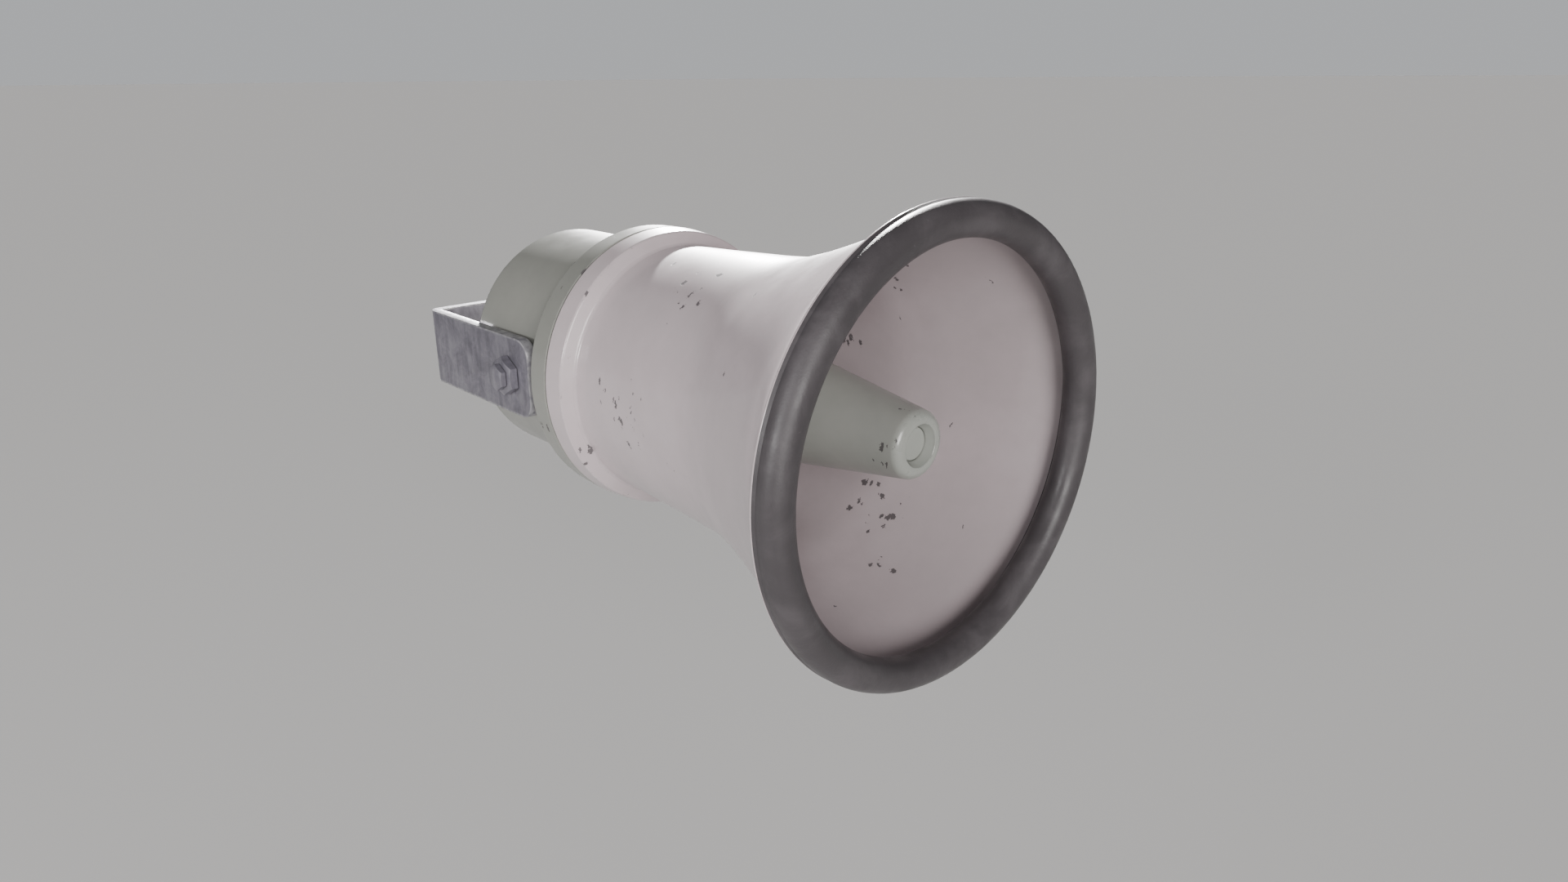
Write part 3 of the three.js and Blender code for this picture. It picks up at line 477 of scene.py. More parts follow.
pivot_zinc = weathered_zinc("galvanised_hardware")
leg_inner = strap_outer - STRAP_THICK
bore_r = BOLT_SHANK_R + PLAY
for side_name, side in (("left", -1), ("right", 1)):
    bush = hexagon_head(
        f"hexagon_bush_{side_name}", BUSH_FLATS, side, *BUSH_HEAD,
        behind=[(leg_inner, bore_r), (leg_inner, BUSH_SHOULDER_R), (BUSH_HEAD[0], BUSH_SHOULDER_R)],
        within=[(BUSH_HEAD[1], bore_r)],
    )
    finished(bush, pivot_zinc, "galvanised_steel", "horn", f"pivot_bush_{side_name}")
    bolt = hexagon_head(
        f"pivot_bolt_head_{side_name}", BOLT_FLATS, side, *BOLT_HEAD,
        behind=[(BOLT_END_X, BOLT_SHANK_R), (BOLT_HEAD[0], BOLT_SHANK_R)],
    )
    finished(bolt, pivot_zinc, "galvanised_steel", "horn", f"pivot_bolt_{side_name}")


# ---------------------------------------------------------------- rear cover
# A pressed steel drum over the driver, with a widened rim that is screwed to the horn and a flat boss at each
# pivot. It is stove-painted light grey-green and chipped here and there down to the dark primer.

TURNED_SIDES = 168
SECTION_RING_R = 0.1
COVER_BACK_OUT = 43.0
COVER_R = 66.5
COVER_STEP_OUT = 122.5
COVER_WALL = 1.8
COVER_EDGE = 4.0
SEAM_OUT = 138.2
SEAM_HALF = 0.8
FLANGE_R = 76.8
FLANGE_FLARE = 1.6
SEAM_SCREW_RING_R = 71.2
SEAM_SCREW_COUNT = 4
SEAM_SCREW_FIRST = 45.0
SCREW_HOLE_R = 2.3
PAD_R = 17.0
PAD_X = 67.2
INSERT_R = 7.0
INSERT_X = 50.5
GLAND_Z = -40.0
GLAND_THREAD_R = 6.0
STEP_ROUND = 1.2
STEP_CORNER = 0.8
RIM_EASE = 0.4
SCREW_BOSS_R = 3.9
PIVOT_BOSS_R = 11.0
PAD_EDGE_ROUND = 0.5
FULL_BEND = 0.35
GREY_GREEN = (0.295, 0.295, 0.268)
GREY_GREEN_DULL = (0.255, 0.257, 0.234)
PRIMER = (0.075, 0.066, 0.070)


def turning_tree():
    """Geometry Nodes tree that sweeps a section round the horn's axis, as on a spinning lathe."""
    tree = bpy.data.node_groups.new("turned_piece", "GeometryNodeTree")
    wanted = (("Section", "Geometry"), ("Sides", "Int"), ("Ring Radius", "Float"), ("Finish", "Material"))
    for name, kind in wanted:
        tree.interface.new_socket(name=name, in_out="INPUT", socket_type=f"NodeSocket{kind}")
    tree.interface.new_socket(name="Piece", in_out="OUTPUT", socket_type="NodeSocketGeometry")
    given = tree.nodes.new("NodeGroupInput").outputs
    section = put(tree, "GeometryNodeMeshToCurve", {"Mesh": given["Section"]}).outputs["Curve"]
    circle_feeds = {"Resolution": given["Sides"], "Radius": given["Ring Radius"]}
    circle = put(tree, "GeometryNodeCurvePrimitiveCircle", circle_feeds).outputs["Curve"]
    upright = put(tree, "GeometryNodeSetCurveNormal", {"Curve": circle}, mode="Z_UP").outputs["Curve"]
    steps = (
        ("MergeByDistance", {"Distance": 2e-6}), ("Transform", {"Rotation": (math.pi / 2, 0, 0)}),
        ("RealizeInstances", {}), ("SetMaterial", {"Material": given["Finish"]}),
    )
    made = put(tree, "GeometryNodeCurveToMesh", {"Curve": upright, "Profile Curve": section}).outputs["Mesh"]
    for kind, feeds in steps:
        made = put(tree, f"GeometryNode{kind}", {"Geometry": made, **feeds}).outputs["Geometry"]
    put(tree, "NodeGroupOutput", {"Piece": made})
    return tree


def grow(piece, tree, **sizes):
    """Runs a Geometry Nodes tree with its named inputs on the piece, and keeps the result as a plain mesh."""
    steps = piece.modifiers.new(tree.name, "NODES")
    steps.node_group = tree
    inputs = {item.name: item for item in tree.interface.items_tree if item.in_out == "INPUT"}
    for name, value in sizes.items():
        steps[inputs[name.replace("_", " ")].identifier] = value
    return settle(piece)


def with_close_points(outline, closed):
    """Adds points near each corner and along the long stretches, so that wear stays beside its edge."""
    near, far = 0.8, 5.0
    pairs = list(zip(outline, outline[1:])) + ([(outline[-1], outline[0])] if closed else [])
    points = []
    for (r0, out0), (r1, out1) in pairs:
        length = math.hypot(r1 - r0, out1 - out0)
        marks = [0.0]
        if length > 3 * near:
            inner = length - 2 * near
            spans = max(1, math.ceil(inner / far))
            marks += [(near + inner * i / spans) / length for i in range(spans + 1)]
        points += [(r0 + (r1 - r0) * mark, out0 + (out1 - out0) * mark) for mark in marks]
    return points if closed else points + [outline[-1]]


def bends_of(points, closed):
    """How sharply the section bends at each point, per mm: above 0 on proud edges, below 0 in corners."""
    count = len(points)
    area = sum(r0 * out1 - r1 * out0 for (r0, out0), (r1, out1) in zip(points, points[1:] + points[:1]))
    bends = []
    for i, point in enumerate(points):
        if not closed and i in (0, count - 1):
            bends.append(0.0)
            continue
        before = Vector(point) - Vector(points[i - 1])
        after = Vector(points[(i + 1) % count]) - Vector(point)
        turn = math.atan2(before.x * after.y - before.y * after.x, before.dot(after))
        bends.append(math.copysign(1, area) * turn / max((before.length + after.length) / 2, 0.05))
    return bends


turning = turning_tree()


def turned_piece(name, outline, sides=TURNED_SIDES, shift=(0.0, 0.0)):
    """A piece turned round the horn's axis or a line beside it. Its outline ends on the axis or closes."""
    closed = not (outline[0][0] == 0 and outline[-1][0] == 0)
    points = with_close_points(outline, closed)
    section = bpy.data.meshes.new(name)
    links = [(i, i + 1) for i in range(len(points) - 1)] + ([(len(points) - 1, 0)] if closed else [])
    section.from_pydata([(r * MM - SECTION_RING_R, -out * MM, 0) for r, out in points], links, [])
    bends = bends_of(points, closed)
    for word, sign in (("edge", 1), ("nook", -1)):
        levels = [min(max(sign * bend / FULL_BEND, 0.0), 1.0) for bend in bends]
        section.attributes.new(word, "FLOAT", "POINT").data.foreach_set("value", levels)
    piece = new_piece(name, section)
    grow(piece, turning, Sides=sides, Ring_Radius=SECTION_RING_R)
    work = bmesh.new()
    work.from_mesh(piece.data)
    bmesh.ops.recalc_face_normals(work, faces=work.faces)
    if work.calc_volume(signed=True) < 0:
        bmesh.ops.reverse_faces(work, faces=work.faces)
    bmesh.ops.translate(work, vec=(shift[0] * MM, 0, shift[1] * MM), verts=work.verts)
    work.to_mesh(piece.data)
    work.free()
    return piece


def round_axis(count, radius, first_degrees):
    """Places spaced evenly round the horn's axis, as (x, z) in millimetres."""
    turns = [math.radians(first_degrees + 360 * i / count) for i in range(count)]
    return [(radius * math.cos(turn), radius * math.sin(turn)) for turn in turns]


def bar_out(name, radius, from_out, to_out, place=(0, 0), sides=48):
    x, z = place
    return rod(name, radius, (x, -from_out, z), (x, -to_out, z), sides)


def on_horn(r, out, degrees):
    """The point at that radius, distance out and angle round the axis, in metres."""
    turn = math.radians(degrees)
    return Vector((r * math.cos(turn), -out, r * math.sin(turn))) * MM


def chips(tree, place, cell_mm, share, turn, stretch):
    """Ragged flakes, at most one in each cell of about cell_mm. share says how many of the cells have one."""
    ragged = put(tree, "ShaderNodeTexNoise", {"Vector": place, "Scale": 3600.0 / cell_mm, "Detail": 4.0})
    centred = put(
        tree, "ShaderNodeVectorMath", {0: ragged.outputs["Color"], 1: (-0.5, -0.5, -0.5)}, operation="ADD",
    )
    push = {0: centred.outputs["Vector"], "Scale": cell_mm * 0.85 * MM}
    pushed = put(tree, "ShaderNodeVectorMath", push, operation="SCALE")
    bent = put(tree, "ShaderNodeVectorMath", {0: place, 1: pushed.outputs["Vector"]}, operation="ADD")
    grid = stretched(tree, bent.outputs["Vector"], stretch, turn)
    cells = put(tree, "ShaderNodeTexVoronoi", {"Vector": grid, "Scale": 1000.0 / cell_mm})
    luck = put(tree, "ShaderNodeSeparateColor", {"Color": cells.outputs["Color"]})
    size = between(tree, luck.outputs["Green"], 0.0, 1.0, 0.12, 0.33)
    chosen = figure(tree, "LESS_THAN", luck.outputs["Red"], share)
    depth = figure(tree, "SUBTRACT", size, cells.outputs["Distance"])
    return figure(tree, "MULTIPLY", between(tree, depth, -0.015, 0.03), chosen)


def chipped_paint(name, colour, shade, knocks, stray=0.006, corner_dirt_and_shade=0.6, flake_mm=5.0):
    """Stove paint with orange peel, dirt and painted shade in the corners, scuffed edges and flakes down to
    the primer.

    knocks lists (r, out, degrees, radius), where the flakes crowd. stray is how many there are elsewhere.
    """
    material, tree, shader, place = start_finish(name, 0.4, Coat_Weight=0.5, Coat_Roughness=0.12)
    tone = cloud(tree, place, 70, 4, 0.6, 0.4)
    skin = tinted(tree, between(tree, tone, 0.3, 0.7), shade, colour)
    mottle = cloud(tree, place, 9, 5, 0.65)
    skin = tinted(tree, between(tree, mottle, 0.35, 0.75, 0.0, 0.14), skin, [c * 0.72 for c in colour])
    # Darker in the hollow corners, in patches: dirt, plus painted shade standing in for the ambient occlusion
    # of the corners.
    grime_and_corner_shade = figure(tree, "MULTIPLY", attribute(tree, "nook"), between(tree, mottle, 0.3, 0.6, corner_dirt_and_shade / 3, corner_dirt_and_shade))
    skin = tinted(tree, grime_and_corner_shade, skin, [c * 0.42 for c in colour])
    edge = attribute(tree, "edge")
    scuff_noise = cloud(tree, place, 5, 6, 0.7, 0.6)
    scuff = figure(tree, "MULTIPLY", edge, between(tree, scuff_noise, 0.56, 0.66))
    skin = tinted(tree, figure(tree, "MULTIPLY", scuff, 0.5), skin, [c * 0.5 for c in colour])
    crowd = figure(tree, "MULTIPLY", edge, 0.05)
    for r, out, degrees, radius in knocks:
        knocked = {0: place, 1: on_horn(r, out, degrees)}
        away_from = put(tree, "ShaderNodeVectorMath", knocked, operation="DISTANCE")
        near = between(tree, away_from.outputs["Value"], radius * 1.2 * MM, 0.0, 0.0, 1.3)
        crowd = figure(tree, "MAXIMUM", crowd, near)
    loose = figure(tree, "ADD", crowd, stray)
    flake_share = figure(tree, "MULTIPLY", loose, 0.8)
    flakes = chips(tree, place, flake_mm, flake_share, (0.5, 0.3, 0.9), (1.0, 0.8, 0.42))
    speck_share = figure(tree, "MULTIPLY", loose, 0.6)
    specks = chips(tree, place, flake_mm * 0.6, speck_share, (0.2, 0.9, 0.1), (0.55, 1.0, 0.36))
    bare = figure(tree, "MAXIMUM", flakes, specks)
    skin = tinted(tree, figure(tree, "MULTIPLY", bare, 0.88), skin, PRIMER)
    tree.links.new(skin, shader.inputs["Base Color"])
    sheen = between(tree, cloud(tree, place, 26, 6, 0.65), 0.3, 0.7, 0.34, 0.46)
    sheen = figure(tree, "ADD", sheen, figure(tree, "MULTIPLY", bare, 0.3))
    edge_and_corner_mask = figure(tree, "MAXIMUM", edge, attribute(tree, "nook"))
    sheen = figure(tree, "SUBTRACT", sheen, figure(tree, "MULTIPLY", edge_and_corner_mask, 0.14))
    tree.links.new(sheen, shader.inputs["Roughness"])
    peel = figure(tree, "MULTIPLY", cloud(tree, place, 1.3, 2), 0.05)
    swell = figure(tree, "MULTIPLY", cloud(tree, place, 34, 2), 0.5)
    height = figure(tree, "ADD", figure(tree, "ADD", peel, swell), figure(tree, "MULTIPLY", bare, -0.35))
    raise_surface(tree, shader, height, 0.3, 0.8)
    return material


rim_out = SEAM_OUT - SEAM_HALF
step_r = FLANGE_R - FLANGE_FLARE
drum_inner = COVER_R - COVER_WALL
edge_r, edge_out = COVER_R - COVER_EDGE, COVER_BACK_OUT + COVER_EDGE
cover = turned_piece("rear_cover_drum", [
    (0, COVER_BACK_OUT),
    *arc(edge_r, edge_out, COVER_EDGE, -90, 0, 12),
    *arc(COVER_R + STEP_CORNER, COVER_STEP_OUT - STEP_CORNER, STEP_CORNER, 180, 90, 4),
    *arc(step_r, COVER_STEP_OUT + STEP_ROUND, STEP_ROUND, -90, 0, 6),
    (FLANGE_R, rim_out - RIM_EASE),
    (FLANGE_R - RIM_EASE, rim_out),
    (FLANGE_R - COVER_WALL, rim_out),
    (step_r + STEP_ROUND - COVER_WALL, COVER_STEP_OUT + COVER_WALL),
    (drum_inner, COVER_STEP_OUT + COVER_WALL),
    *arc(edge_r, edge_out, COVER_EDGE - COVER_WALL, 0, -90, 6),
    (0, COVER_BACK_OUT + COVER_WALL),
])


def across_drum(from_x, to_x):
    """Two points on the tilt axis, in millimetres."""
    return [(x, -pivot_out, 0) for x in (from_x, to_x)]


seam_places = round_axis(SEAM_SCREW_COUNT, SEAM_SCREW_RING_R, SEAM_SCREW_FIRST)
added, bored = [], []
for place in seam_places:
    added.append(bar_out("screw_boss", SCREW_BOSS_R, COVER_STEP_OUT + 0.9, rim_out - 0.3, place))
    bored.append(bar_out("screw_hole", SCREW_HOLE_R, COVER_STEP_OUT - CUT_PAST, rim_out + 1, place))
for side in (-1, 1):
    pad = rod("pivot_pad", PAD_R, *across_drum(side * (COVER_R - 4), side * PAD_X), 96)
    added.append(eased(pad, PAD_EDGE_ROUND))
    boss_ends = across_drum(side * (INSERT_X - 0.5), side * (COVER_R - 3))
    added.append(rod("pivot_boss", PIVOT_BOSS_R, *boss_ends))
    hole_ends = across_drum(side * (INSERT_X - CUT_PAST), side * (PAD_X + 1))
    bored.append(rod("insert_hole", INSERT_R + PLAY, *hole_ends))
gland_place = (0, GLAND_Z)
bored.append(bar_out("gland_hole", GLAND_THREAD_R + PLAY, COVER_BACK_OUT - 1, COVER_BACK_OUT + 3, gland_place))
worked(cover, "UNION", added)
worked(cover, "DIFFERENCE", bored)
cover_knocks = [
    (FLANGE_R, 131, 138, 6), (FLANGE_R, 128, -165, 6), (COVER_R, 106, 118, 4), (FLANGE_R, 127, 40, 8),
    (COVER_R, 60, 55, 12), (COVER_R, 75, -60, 10), (50, 43, 110, 14), (62, 44, -20, 8),
]
cover_paint = chipped_paint("drum_paint", GREY_GREEN, GREY_GREEN_DULL, cover_knocks)
finished(cover, cover_paint, "grey_paint", "horn", "rear_cover")


# ---------------------------------------------------------------- seam
# A flat rubber ring is squeezed between the cover and the horn. Four pan-headed screws go in from behind the
# cover's rim and are held by clinched nuts inside the bell's shoulder; zinc-plated steel.

GASKET_INNER_R = 62.0
GASKET_EDGE_R = FLANGE_R - 0.95
GASKET_HALF = 0.5
SCREW_HEAD_R = 3.9
SCREW_HEAD_HIGH = 2.6
SCREW_SHANK_R = 1.9
SCREW_END_OUT = 149.1


def moulded_rubber(name, colour, roughness, bloom=0.35):
    """Black rubber, dusty grey in patches, with a fine moulded skin."""
    material, tree, shader, place = start_finish(name, roughness)
    dust = between(tree, cloud(tree, place, 28, 7, 0.65, 0.5), 0.4, 0.75, 0.0, bloom)
    skin = tinted(tree, dust, colour, [c * 2.0 + 0.012 for c in colour])
    scratches = cloud(tree, stretched(tree, place, (1.0, 0.25, 1.0)), 4, 6, 0.7, 0.8)
    scrape = between(tree, scratches, 0.66, 0.74, 0.0, 0.4)
    skin = tinted(tree, scrape, skin, [c * 2.6 + 0.02 for c in colour])
    tree.links.new(skin, shader.inputs["Base Color"])
    dull = between(tree, cloud(tree, place, 14, 5), 0.3, 0.7, roughness - 0.07, roughness + 0.1)
    tree.links.new(dull, shader.inputs["Roughness"])
    waves = figure(tree, "MULTIPLY", cloud(tree, place, 18, 3), 2.0)
    raise_surface(tree, shader, figure(tree, "ADD", cloud(tree, place, 0.9, 3), waves), 0.12, 0.6)
    return material


def plated_metal(name, colour, roughness, stain_colour, metallic=1.0, grain_mm=1.2):
    """Plated, turned or cast metal: slight stains, a fine grain and softer gloss in patches."""
    material, tree, shader, place = start_finish(name, roughness, metallic)
    stain = between(tree, cloud(tree, place, 6, 7, 0.7, 0.6), 0.45, 0.75, 0.0, 0.6)
    tree.links.new(tinted(tree, stain, colour, stain_colour), shader.inputs["Base Color"])
    grain = cloud(tree, place, grain_mm, 4, 0.6)
    gloss = between(tree, grain, 0.3, 0.7, roughness - 0.08, roughness + 0.12)
    tree.links.new(gloss, shader.inputs["Roughness"])
    raise_surface(tree, shader, grain, 0.08, 0.5)
    return material


def ring_tree():
    """Geometry Nodes tree that repeats one piece, modelled upright on its own axis, round the horn's axis."""
    tree = bpy.data.node_groups.new("pieces_round_axis", "GeometryNodeTree")
    wanted = (
        ("One Piece", "Geometry"), ("Count", "Int"), ("Ring Radius", "Float"), ("First Angle", "Float"),
        ("Most Turn", "Float"), ("Seed", "Int"), ("Finish", "Material"),
    )
    for name, kind in wanted:
        tree.interface.new_socket(name=name, in_out="INPUT", socket_type=f"NodeSocket{kind}")
    tree.interface.new_socket(name="Ring", in_out="OUTPUT", socket_type="NodeSocketGeometry")
    given = tree.nodes.new("NodeGroupInput").outputs
    circle = put(tree, "GeometryNodeMeshCircle", {"Vertices": given["Count"], "Radius": given["Ring Radius"]})
    first = put(tree, "ShaderNodeCombineXYZ", {"Z": given["First Angle"]}).outputs["Vector"]
    spots = put(tree, "GeometryNodeTransform", {"Geometry": circle.outputs["Mesh"], "Rotation": first})
    most = put(tree, "ShaderNodeCombineXYZ", {"Z": given["Most Turn"]}).outputs["Vector"]
    luck = {"Max": most, "Seed": given["Seed"]}
    turn = put(tree, "FunctionNodeRandomValue", luck, data_type="FLOAT_VECTOR").outputs["Value"]
    copies = {"Points": spots.outputs["Geometry"], "Instance": given["One Piece"], "Rotation": turn}
    made = put(tree, "GeometryNodeInstanceOnPoints", copies).outputs["Instances"]
    steps = (
        ("Transform", {"Rotation": (math.pi / 2, 0, 0)}), ("RealizeInstances", {}),
        ("SetMaterial", {"Material": given["Finish"]}),
    )
    for kind, feeds in steps:
        made = put(tree, f"GeometryNode{kind}", {"Geometry": made, **feeds}).outputs["Geometry"]
    put(tree, "NodeGroupOutput", {"Ring": made})
    return tree


pieces_round_axis = ring_tree()


def cross_head_screw(name, head_r, head_high, seat, shank_r, end):
    """A pan-headed screw that points out from its seat, standing at x = z = 0 with its cross recess cut."""
    top = seat - head_high
    screw = turned_piece(name, [
        (0, top), (head_r * 0.55, top + 0.08), (head_r * 0.82, top + head_high * 0.24),
        (head_r * 0.97, top + head_high * 0.55), (head_r, seat - 0.25), (head_r - 0.25, seat),
        (shank_r, seat), (shank_r, end - 0.6), (shank_r - 0.6, end), (0, end),
    ], 40)
    slot_half, slot_long, slot_deep = head_r * 0.13, head_r * 0.55, head_high * 0.62
    arms = []
    for half_x, half_z in ((slot_half, slot_long), (slot_long, slot_half)):
        corners = [(-half_x, -half_z), (half_x, -half_z), (half_x, half_z), (-half_x, half_z)]
        stand = Matrix(((1, 0, 0, 0), (0, 0, -1, -top + 1), (0, 1, 0, 0), (0, 0, 0, 1)))
        arms.append(slab("cross_arm", corners, slot_deep + 1, stand))
    return worked(screw, "DIFFERENCE", arms)


def upright(piece):
    """Stands a piece modelled along the horn's axis up on Z, ready to be repeated round that axis."""
    piece.data.transform(Matrix.Rotation(-math.pi / 2, 4, "X"))
    return piece


gasket = turned_piece("seam_gasket_ring", [
    (GASKET_INNER_R, SEAM_OUT - GASKET_HALF), (FLANGE_R - 1.2, SEAM_OUT - GASKET_HALF),
    (GASKET_EDGE_R, SEAM_OUT - 0.2), (GASKET_EDGE_R, SEAM_OUT + 0.2),
    (FLANGE_R - 1.2, SEAM_OUT + GASKET_HALF), (GASKET_INNER_R, SEAM_OUT + GASKET_HALF),
])
gasket_holes = [
    bar_out("hole", SCREW_HOLE_R + PLAY, SEAM_OUT - 1, SEAM_OUT + 1, place, 24) for place in seam_places
]
worked(gasket, "DIFFERENCE", gasket_holes)
finished(gasket, moulded_rubber("seam_rubber", (0.016, 0.015, 0.016), 0.7), "rubber", "horn", "seam_gasket")

screw_steel = plated_metal("zinc_plate", (0.50, 0.50, 0.49), 0.36, (0.20, 0.18, 0.16))
seam_screws = upright(cross_head_screw(
    "seam_screws", SCREW_HEAD_R, SCREW_HEAD_HIGH, COVER_STEP_OUT - PLAY, SCREW_SHANK_R, SCREW_END_OUT,
))
grow(
    seam_screws, pieces_round_axis, Count=SEAM_SCREW_COUNT, Ring_Radius=SEAM_SCREW_RING_R * MM,
    First_Angle=math.radians(SEAM_SCREW_FIRST), Most_Turn=math.pi / 2, Seed=5, Finish=screw_steel,
)
seam_screw_nodes = [f"seam_screw_{i + 1}" for i in range(SEAM_SCREW_COUNT)]
finished(seam_screws, screw_steel, "steel", "horn", *seam_screw_nodes)


# ---------------------------------------------------------------- cable gland
# Moulded black nylon: a hexagon body screwed through the cover's back, a domed nut, and a rubber seal inside.
# The cable isn't part of the object, so the bore is open.

GLAND_FLATS = 17.0
GLAND_END_OUT = 26.5
CABLE_BORE_R = 4.0
GLAND_HEXAGON_HIGH = 4.7
GLAND_THREAD = (31, 52)
DOME_R = 5.6
DOME_ROUND = 4.3
NUT_SEAT_OUT = 37.7
SEAL_OUT = GLAND_END_OUT + 3.1
SEAL_HIGH = 1.1


def moulded_nylon(name):
    material, tree, shader, place = start_finish(name, 0.48)
    haze = between(tree, cloud(tree, place, 11, 6, 0.6), 0.4, 0.75, 0.0, 0.5)
    skin = tinted(tree, haze, (0.018, 0.018, 0.019), (0.052, 0.050, 0.050))
    tree.links.new(skin, shader.inputs["Base Color"])
    grain = cloud(tree, place, 0.7, 3)
    tree.links.new(between(tree, grain, 0.3, 0.7, 0.4, 0.58), shader.inputs["Roughness"])
    raise_surface(tree, shader, grain, 0.06, 0.5)
    return material


nylon = moulded_nylon("black_nylon")
gland_seat = COVER_BACK_OUT - PLAY
hexagon_r = GLAND_FLATS / math.sqrt(3)
gland_body = bar_out("gland_hexagon", hexagon_r, gland_seat - GLAND_HEXAGON_HIGH, gland_seat, gland_place, 6)
eased(gland_body, 0.5, 2)
worked(gland_body, "UNION", [bar_out("thread", GLAND_THREAD_R, *GLAND_THREAD, gland_place)])
worked(gland_body, "DIFFERENCE", [bar_out("bore", CABLE_BORE_R, 26, 53, gland_place)])
finished(gland_body, nylon, "black_plastic", "horn", "gland_body")

gland_nut = turned_piece("gland_dome_nut", [
    (0, GLAND_END_OUT),
    (DOME_R, GLAND_END_OUT),
    *arc(DOME_R, GLAND_END_OUT + 4.4, DOME_ROUND, -80, -5, 8),
    (DOME_R + DOME_ROUND, NUT_SEAT_OUT),
    (0, NUT_SEAT_OUT),
], 72, gland_place)
nut_flats = bar_out("nut_flats", hexagon_r, GLAND_END_OUT - 1, NUT_SEAT_OUT + 1, gland_place, 6)
worked(gland_nut, "INTERSECT", [nut_flats])
nut_bores = [
    bar_out("thread_room", GLAND_THREAD_R + PLAY, GLAND_END_OUT + 2.8, 39, gland_place),
    bar_out("bore", CABLE_BORE_R, GLAND_END_OUT - 1, 39, gland_place),
]
worked(gland_nut, "DIFFERENCE", nut_bores)
eased(gland_nut, 0.3, 2)
finished(gland_nut, nylon, "black_plastic", "horn", "gland_nut")

gland_seal = turned_piece("gland_seal_ring", [
    (3.4, SEAL_OUT + 0.2), (3.7, SEAL_OUT), (5.9, SEAL_OUT),
    (5.9, SEAL_OUT + SEAL_HIGH), (3.4, SEAL_OUT + SEAL_HIGH),
], 48, gland_place)
finished(gland_seal, moulded_rubber("seal_rubber", (0.03, 0.028, 0.028), 0.6), "rubber", "horn", "gland_seal")


# ---------------------------------------------------------------- horn base
# Cast aluminium plate that closes the back of the bell, with the tone arm that carries the sound forward from
# the driver to the nose. Three posts stand between the plate and the reflector.

NECK_R = 68.4
BASE_BACK_OUT = SEAM_OUT + SEAM_HALF
BASE_RIM_OUT = 145.0
BASE_FACE_OUT = 143.0
TONE_ARM_OUT = 262.0
TONE_ARM_R = 13.5
THROAT_R = 9.0
SHEET = 1.5
DRIVER_SCREW_COUNT = 4
DRIVER_SCREW_RING_R = 45.0
POST_COUNT = 3
REFLECTOR_BACK_OUT = 160.0
REFLECTOR_BACK_R = 39.6
BASE_R = FLANGE_R - 2.5
TONE_ARM_FOOT = 6.0
THROAT_LONG = 14.0
POST_R = 2.6

cast_metal = plated_metal("cast_aluminium", (0.47, 0.475, 0.48), 0.48, (0.27, 0.265, 0.26), 1.0, 1.6)
base = turned_piece("cast_horn_base", [
    (THROAT_R, BASE_BACK_OUT),
    (BASE_R, BASE_BACK_OUT),
    (BASE_R, BASE_RIM_OUT),
    (NECK_R - 2.4, BASE_RIM_OUT),
    *arc(NECK_R - 4.9, BASE_FACE_OUT + 0.5, 0.5, -30, -90, 3),
    *arc(TONE_ARM_R + TONE_ARM_FOOT, BASE_FACE_OUT + TONE_ARM_FOOT, TONE_ARM_FOOT, -90, -180, 12),
    *arc(TONE_ARM_R - SHEET / 2, TONE_ARM_OUT - SHEET / 2, SHEET / 2, 0, 180, 8),
    (THROAT_R, BASE_BACK_OUT + THROAT_LONG),
], 128)
driver_places = round_axis(DRIVER_SCREW_COUNT, DRIVER_SCREW_RING_R, 0)
base_holes = [
    bar_out("screw_hole", SCREW_HOLE_R, BASE_BACK_OUT - 1, BASE_RIM_OUT + 1, place, 24)
    for place in seam_places + driver_places
]
worked(base, "DIFFERENCE", base_holes)
finished(base, cast_metal, "cast_aluminium", "horn", "horn_base")

post_foot, post_top = BASE_FACE_OUT + PLAY, REFLECTOR_BACK_OUT - PLAY
posts = upright(turned_piece("reflector_posts", [
    (0, post_foot), (POST_R, post_foot), (POST_R, post_top - 0.3), (POST_R - 0.3, post_top), (0, post_top),
], 32))
grow(
    posts, pieces_round_axis, Count=POST_COUNT, Ring_Radius=(REFLECTOR_BACK_R - SHEET / 2) * MM,
    First_Angle=math.pi / 2, Most_Turn=0.0, Seed=1, Finish=cast_metal,
)
post_nodes = [f"reflector_post_{i + 1}" for i in range(POST_COUNT)]
finished(posts, cast_metal, "cast_aluminium", "horn", *post_nodes)


# ---------------------------------------------------------------- reflector
# Spun sheet-metal cone over the tone arm. Its nose is rounded, with a recess where a flat cap covers the screw
# that holds it. Its grey-green paint is paler than the drum's and chipped round the tip.

NOSE_OUT = 325.0
NOSE_R = 16.2
TIP_ROUND = 4.5
RECESS_RIM_R = 9.8
CAP_SEAT_OUT = 319.4
CAP_R = 7.6
CAP_HIGH = 1.1
RECESS_R = 7.9
SCREW_WELL_R = 5.0
SCREW_WELL_OUT = 316.4
NOSE_INSIDE_R = 15.2
NOSE_INSIDE_OUT = 313.0
NOSE_GREEN = (0.43, 0.44, 0.405)
NOSE_GREEN_DULL = (0.37, 0.385, 0.355)

reflector = turned_piece("reflector_cone", [
    (REFLECTOR_BACK_R, REFLECTOR_BACK_OUT),
    *arc(NOSE_R - TIP_ROUND, NOSE_OUT - TIP_ROUND, TIP_ROUND, 8, 90, 14),
    *arc(RECESS_RIM_R + 0.5, NOSE_OUT - 0.5, 0.5, 90, 165, 5),
    arc(RECESS_R + 0.6, CAP_SEAT_OUT + 0.9, 0.6, 165, 270, 5)[0],
    (RECESS_R, CAP_SEAT_OUT + 1.3),
    (RECESS_R, CAP_SEAT_OUT),
    (SCREW_WELL_R, CAP_SEAT_OUT),
    (SCREW_WELL_R, SCREW_WELL_OUT),
    (SCREW_HOLE_R, SCREW_WELL_OUT),
    (SCREW_HOLE_R, NOSE_INSIDE_OUT),
    (NOSE_INSIDE_R, NOSE_INSIDE_OUT),
    (REFLECTOR_BACK_R - SHEET, REFLECTOR_BACK_OUT),
], 128)
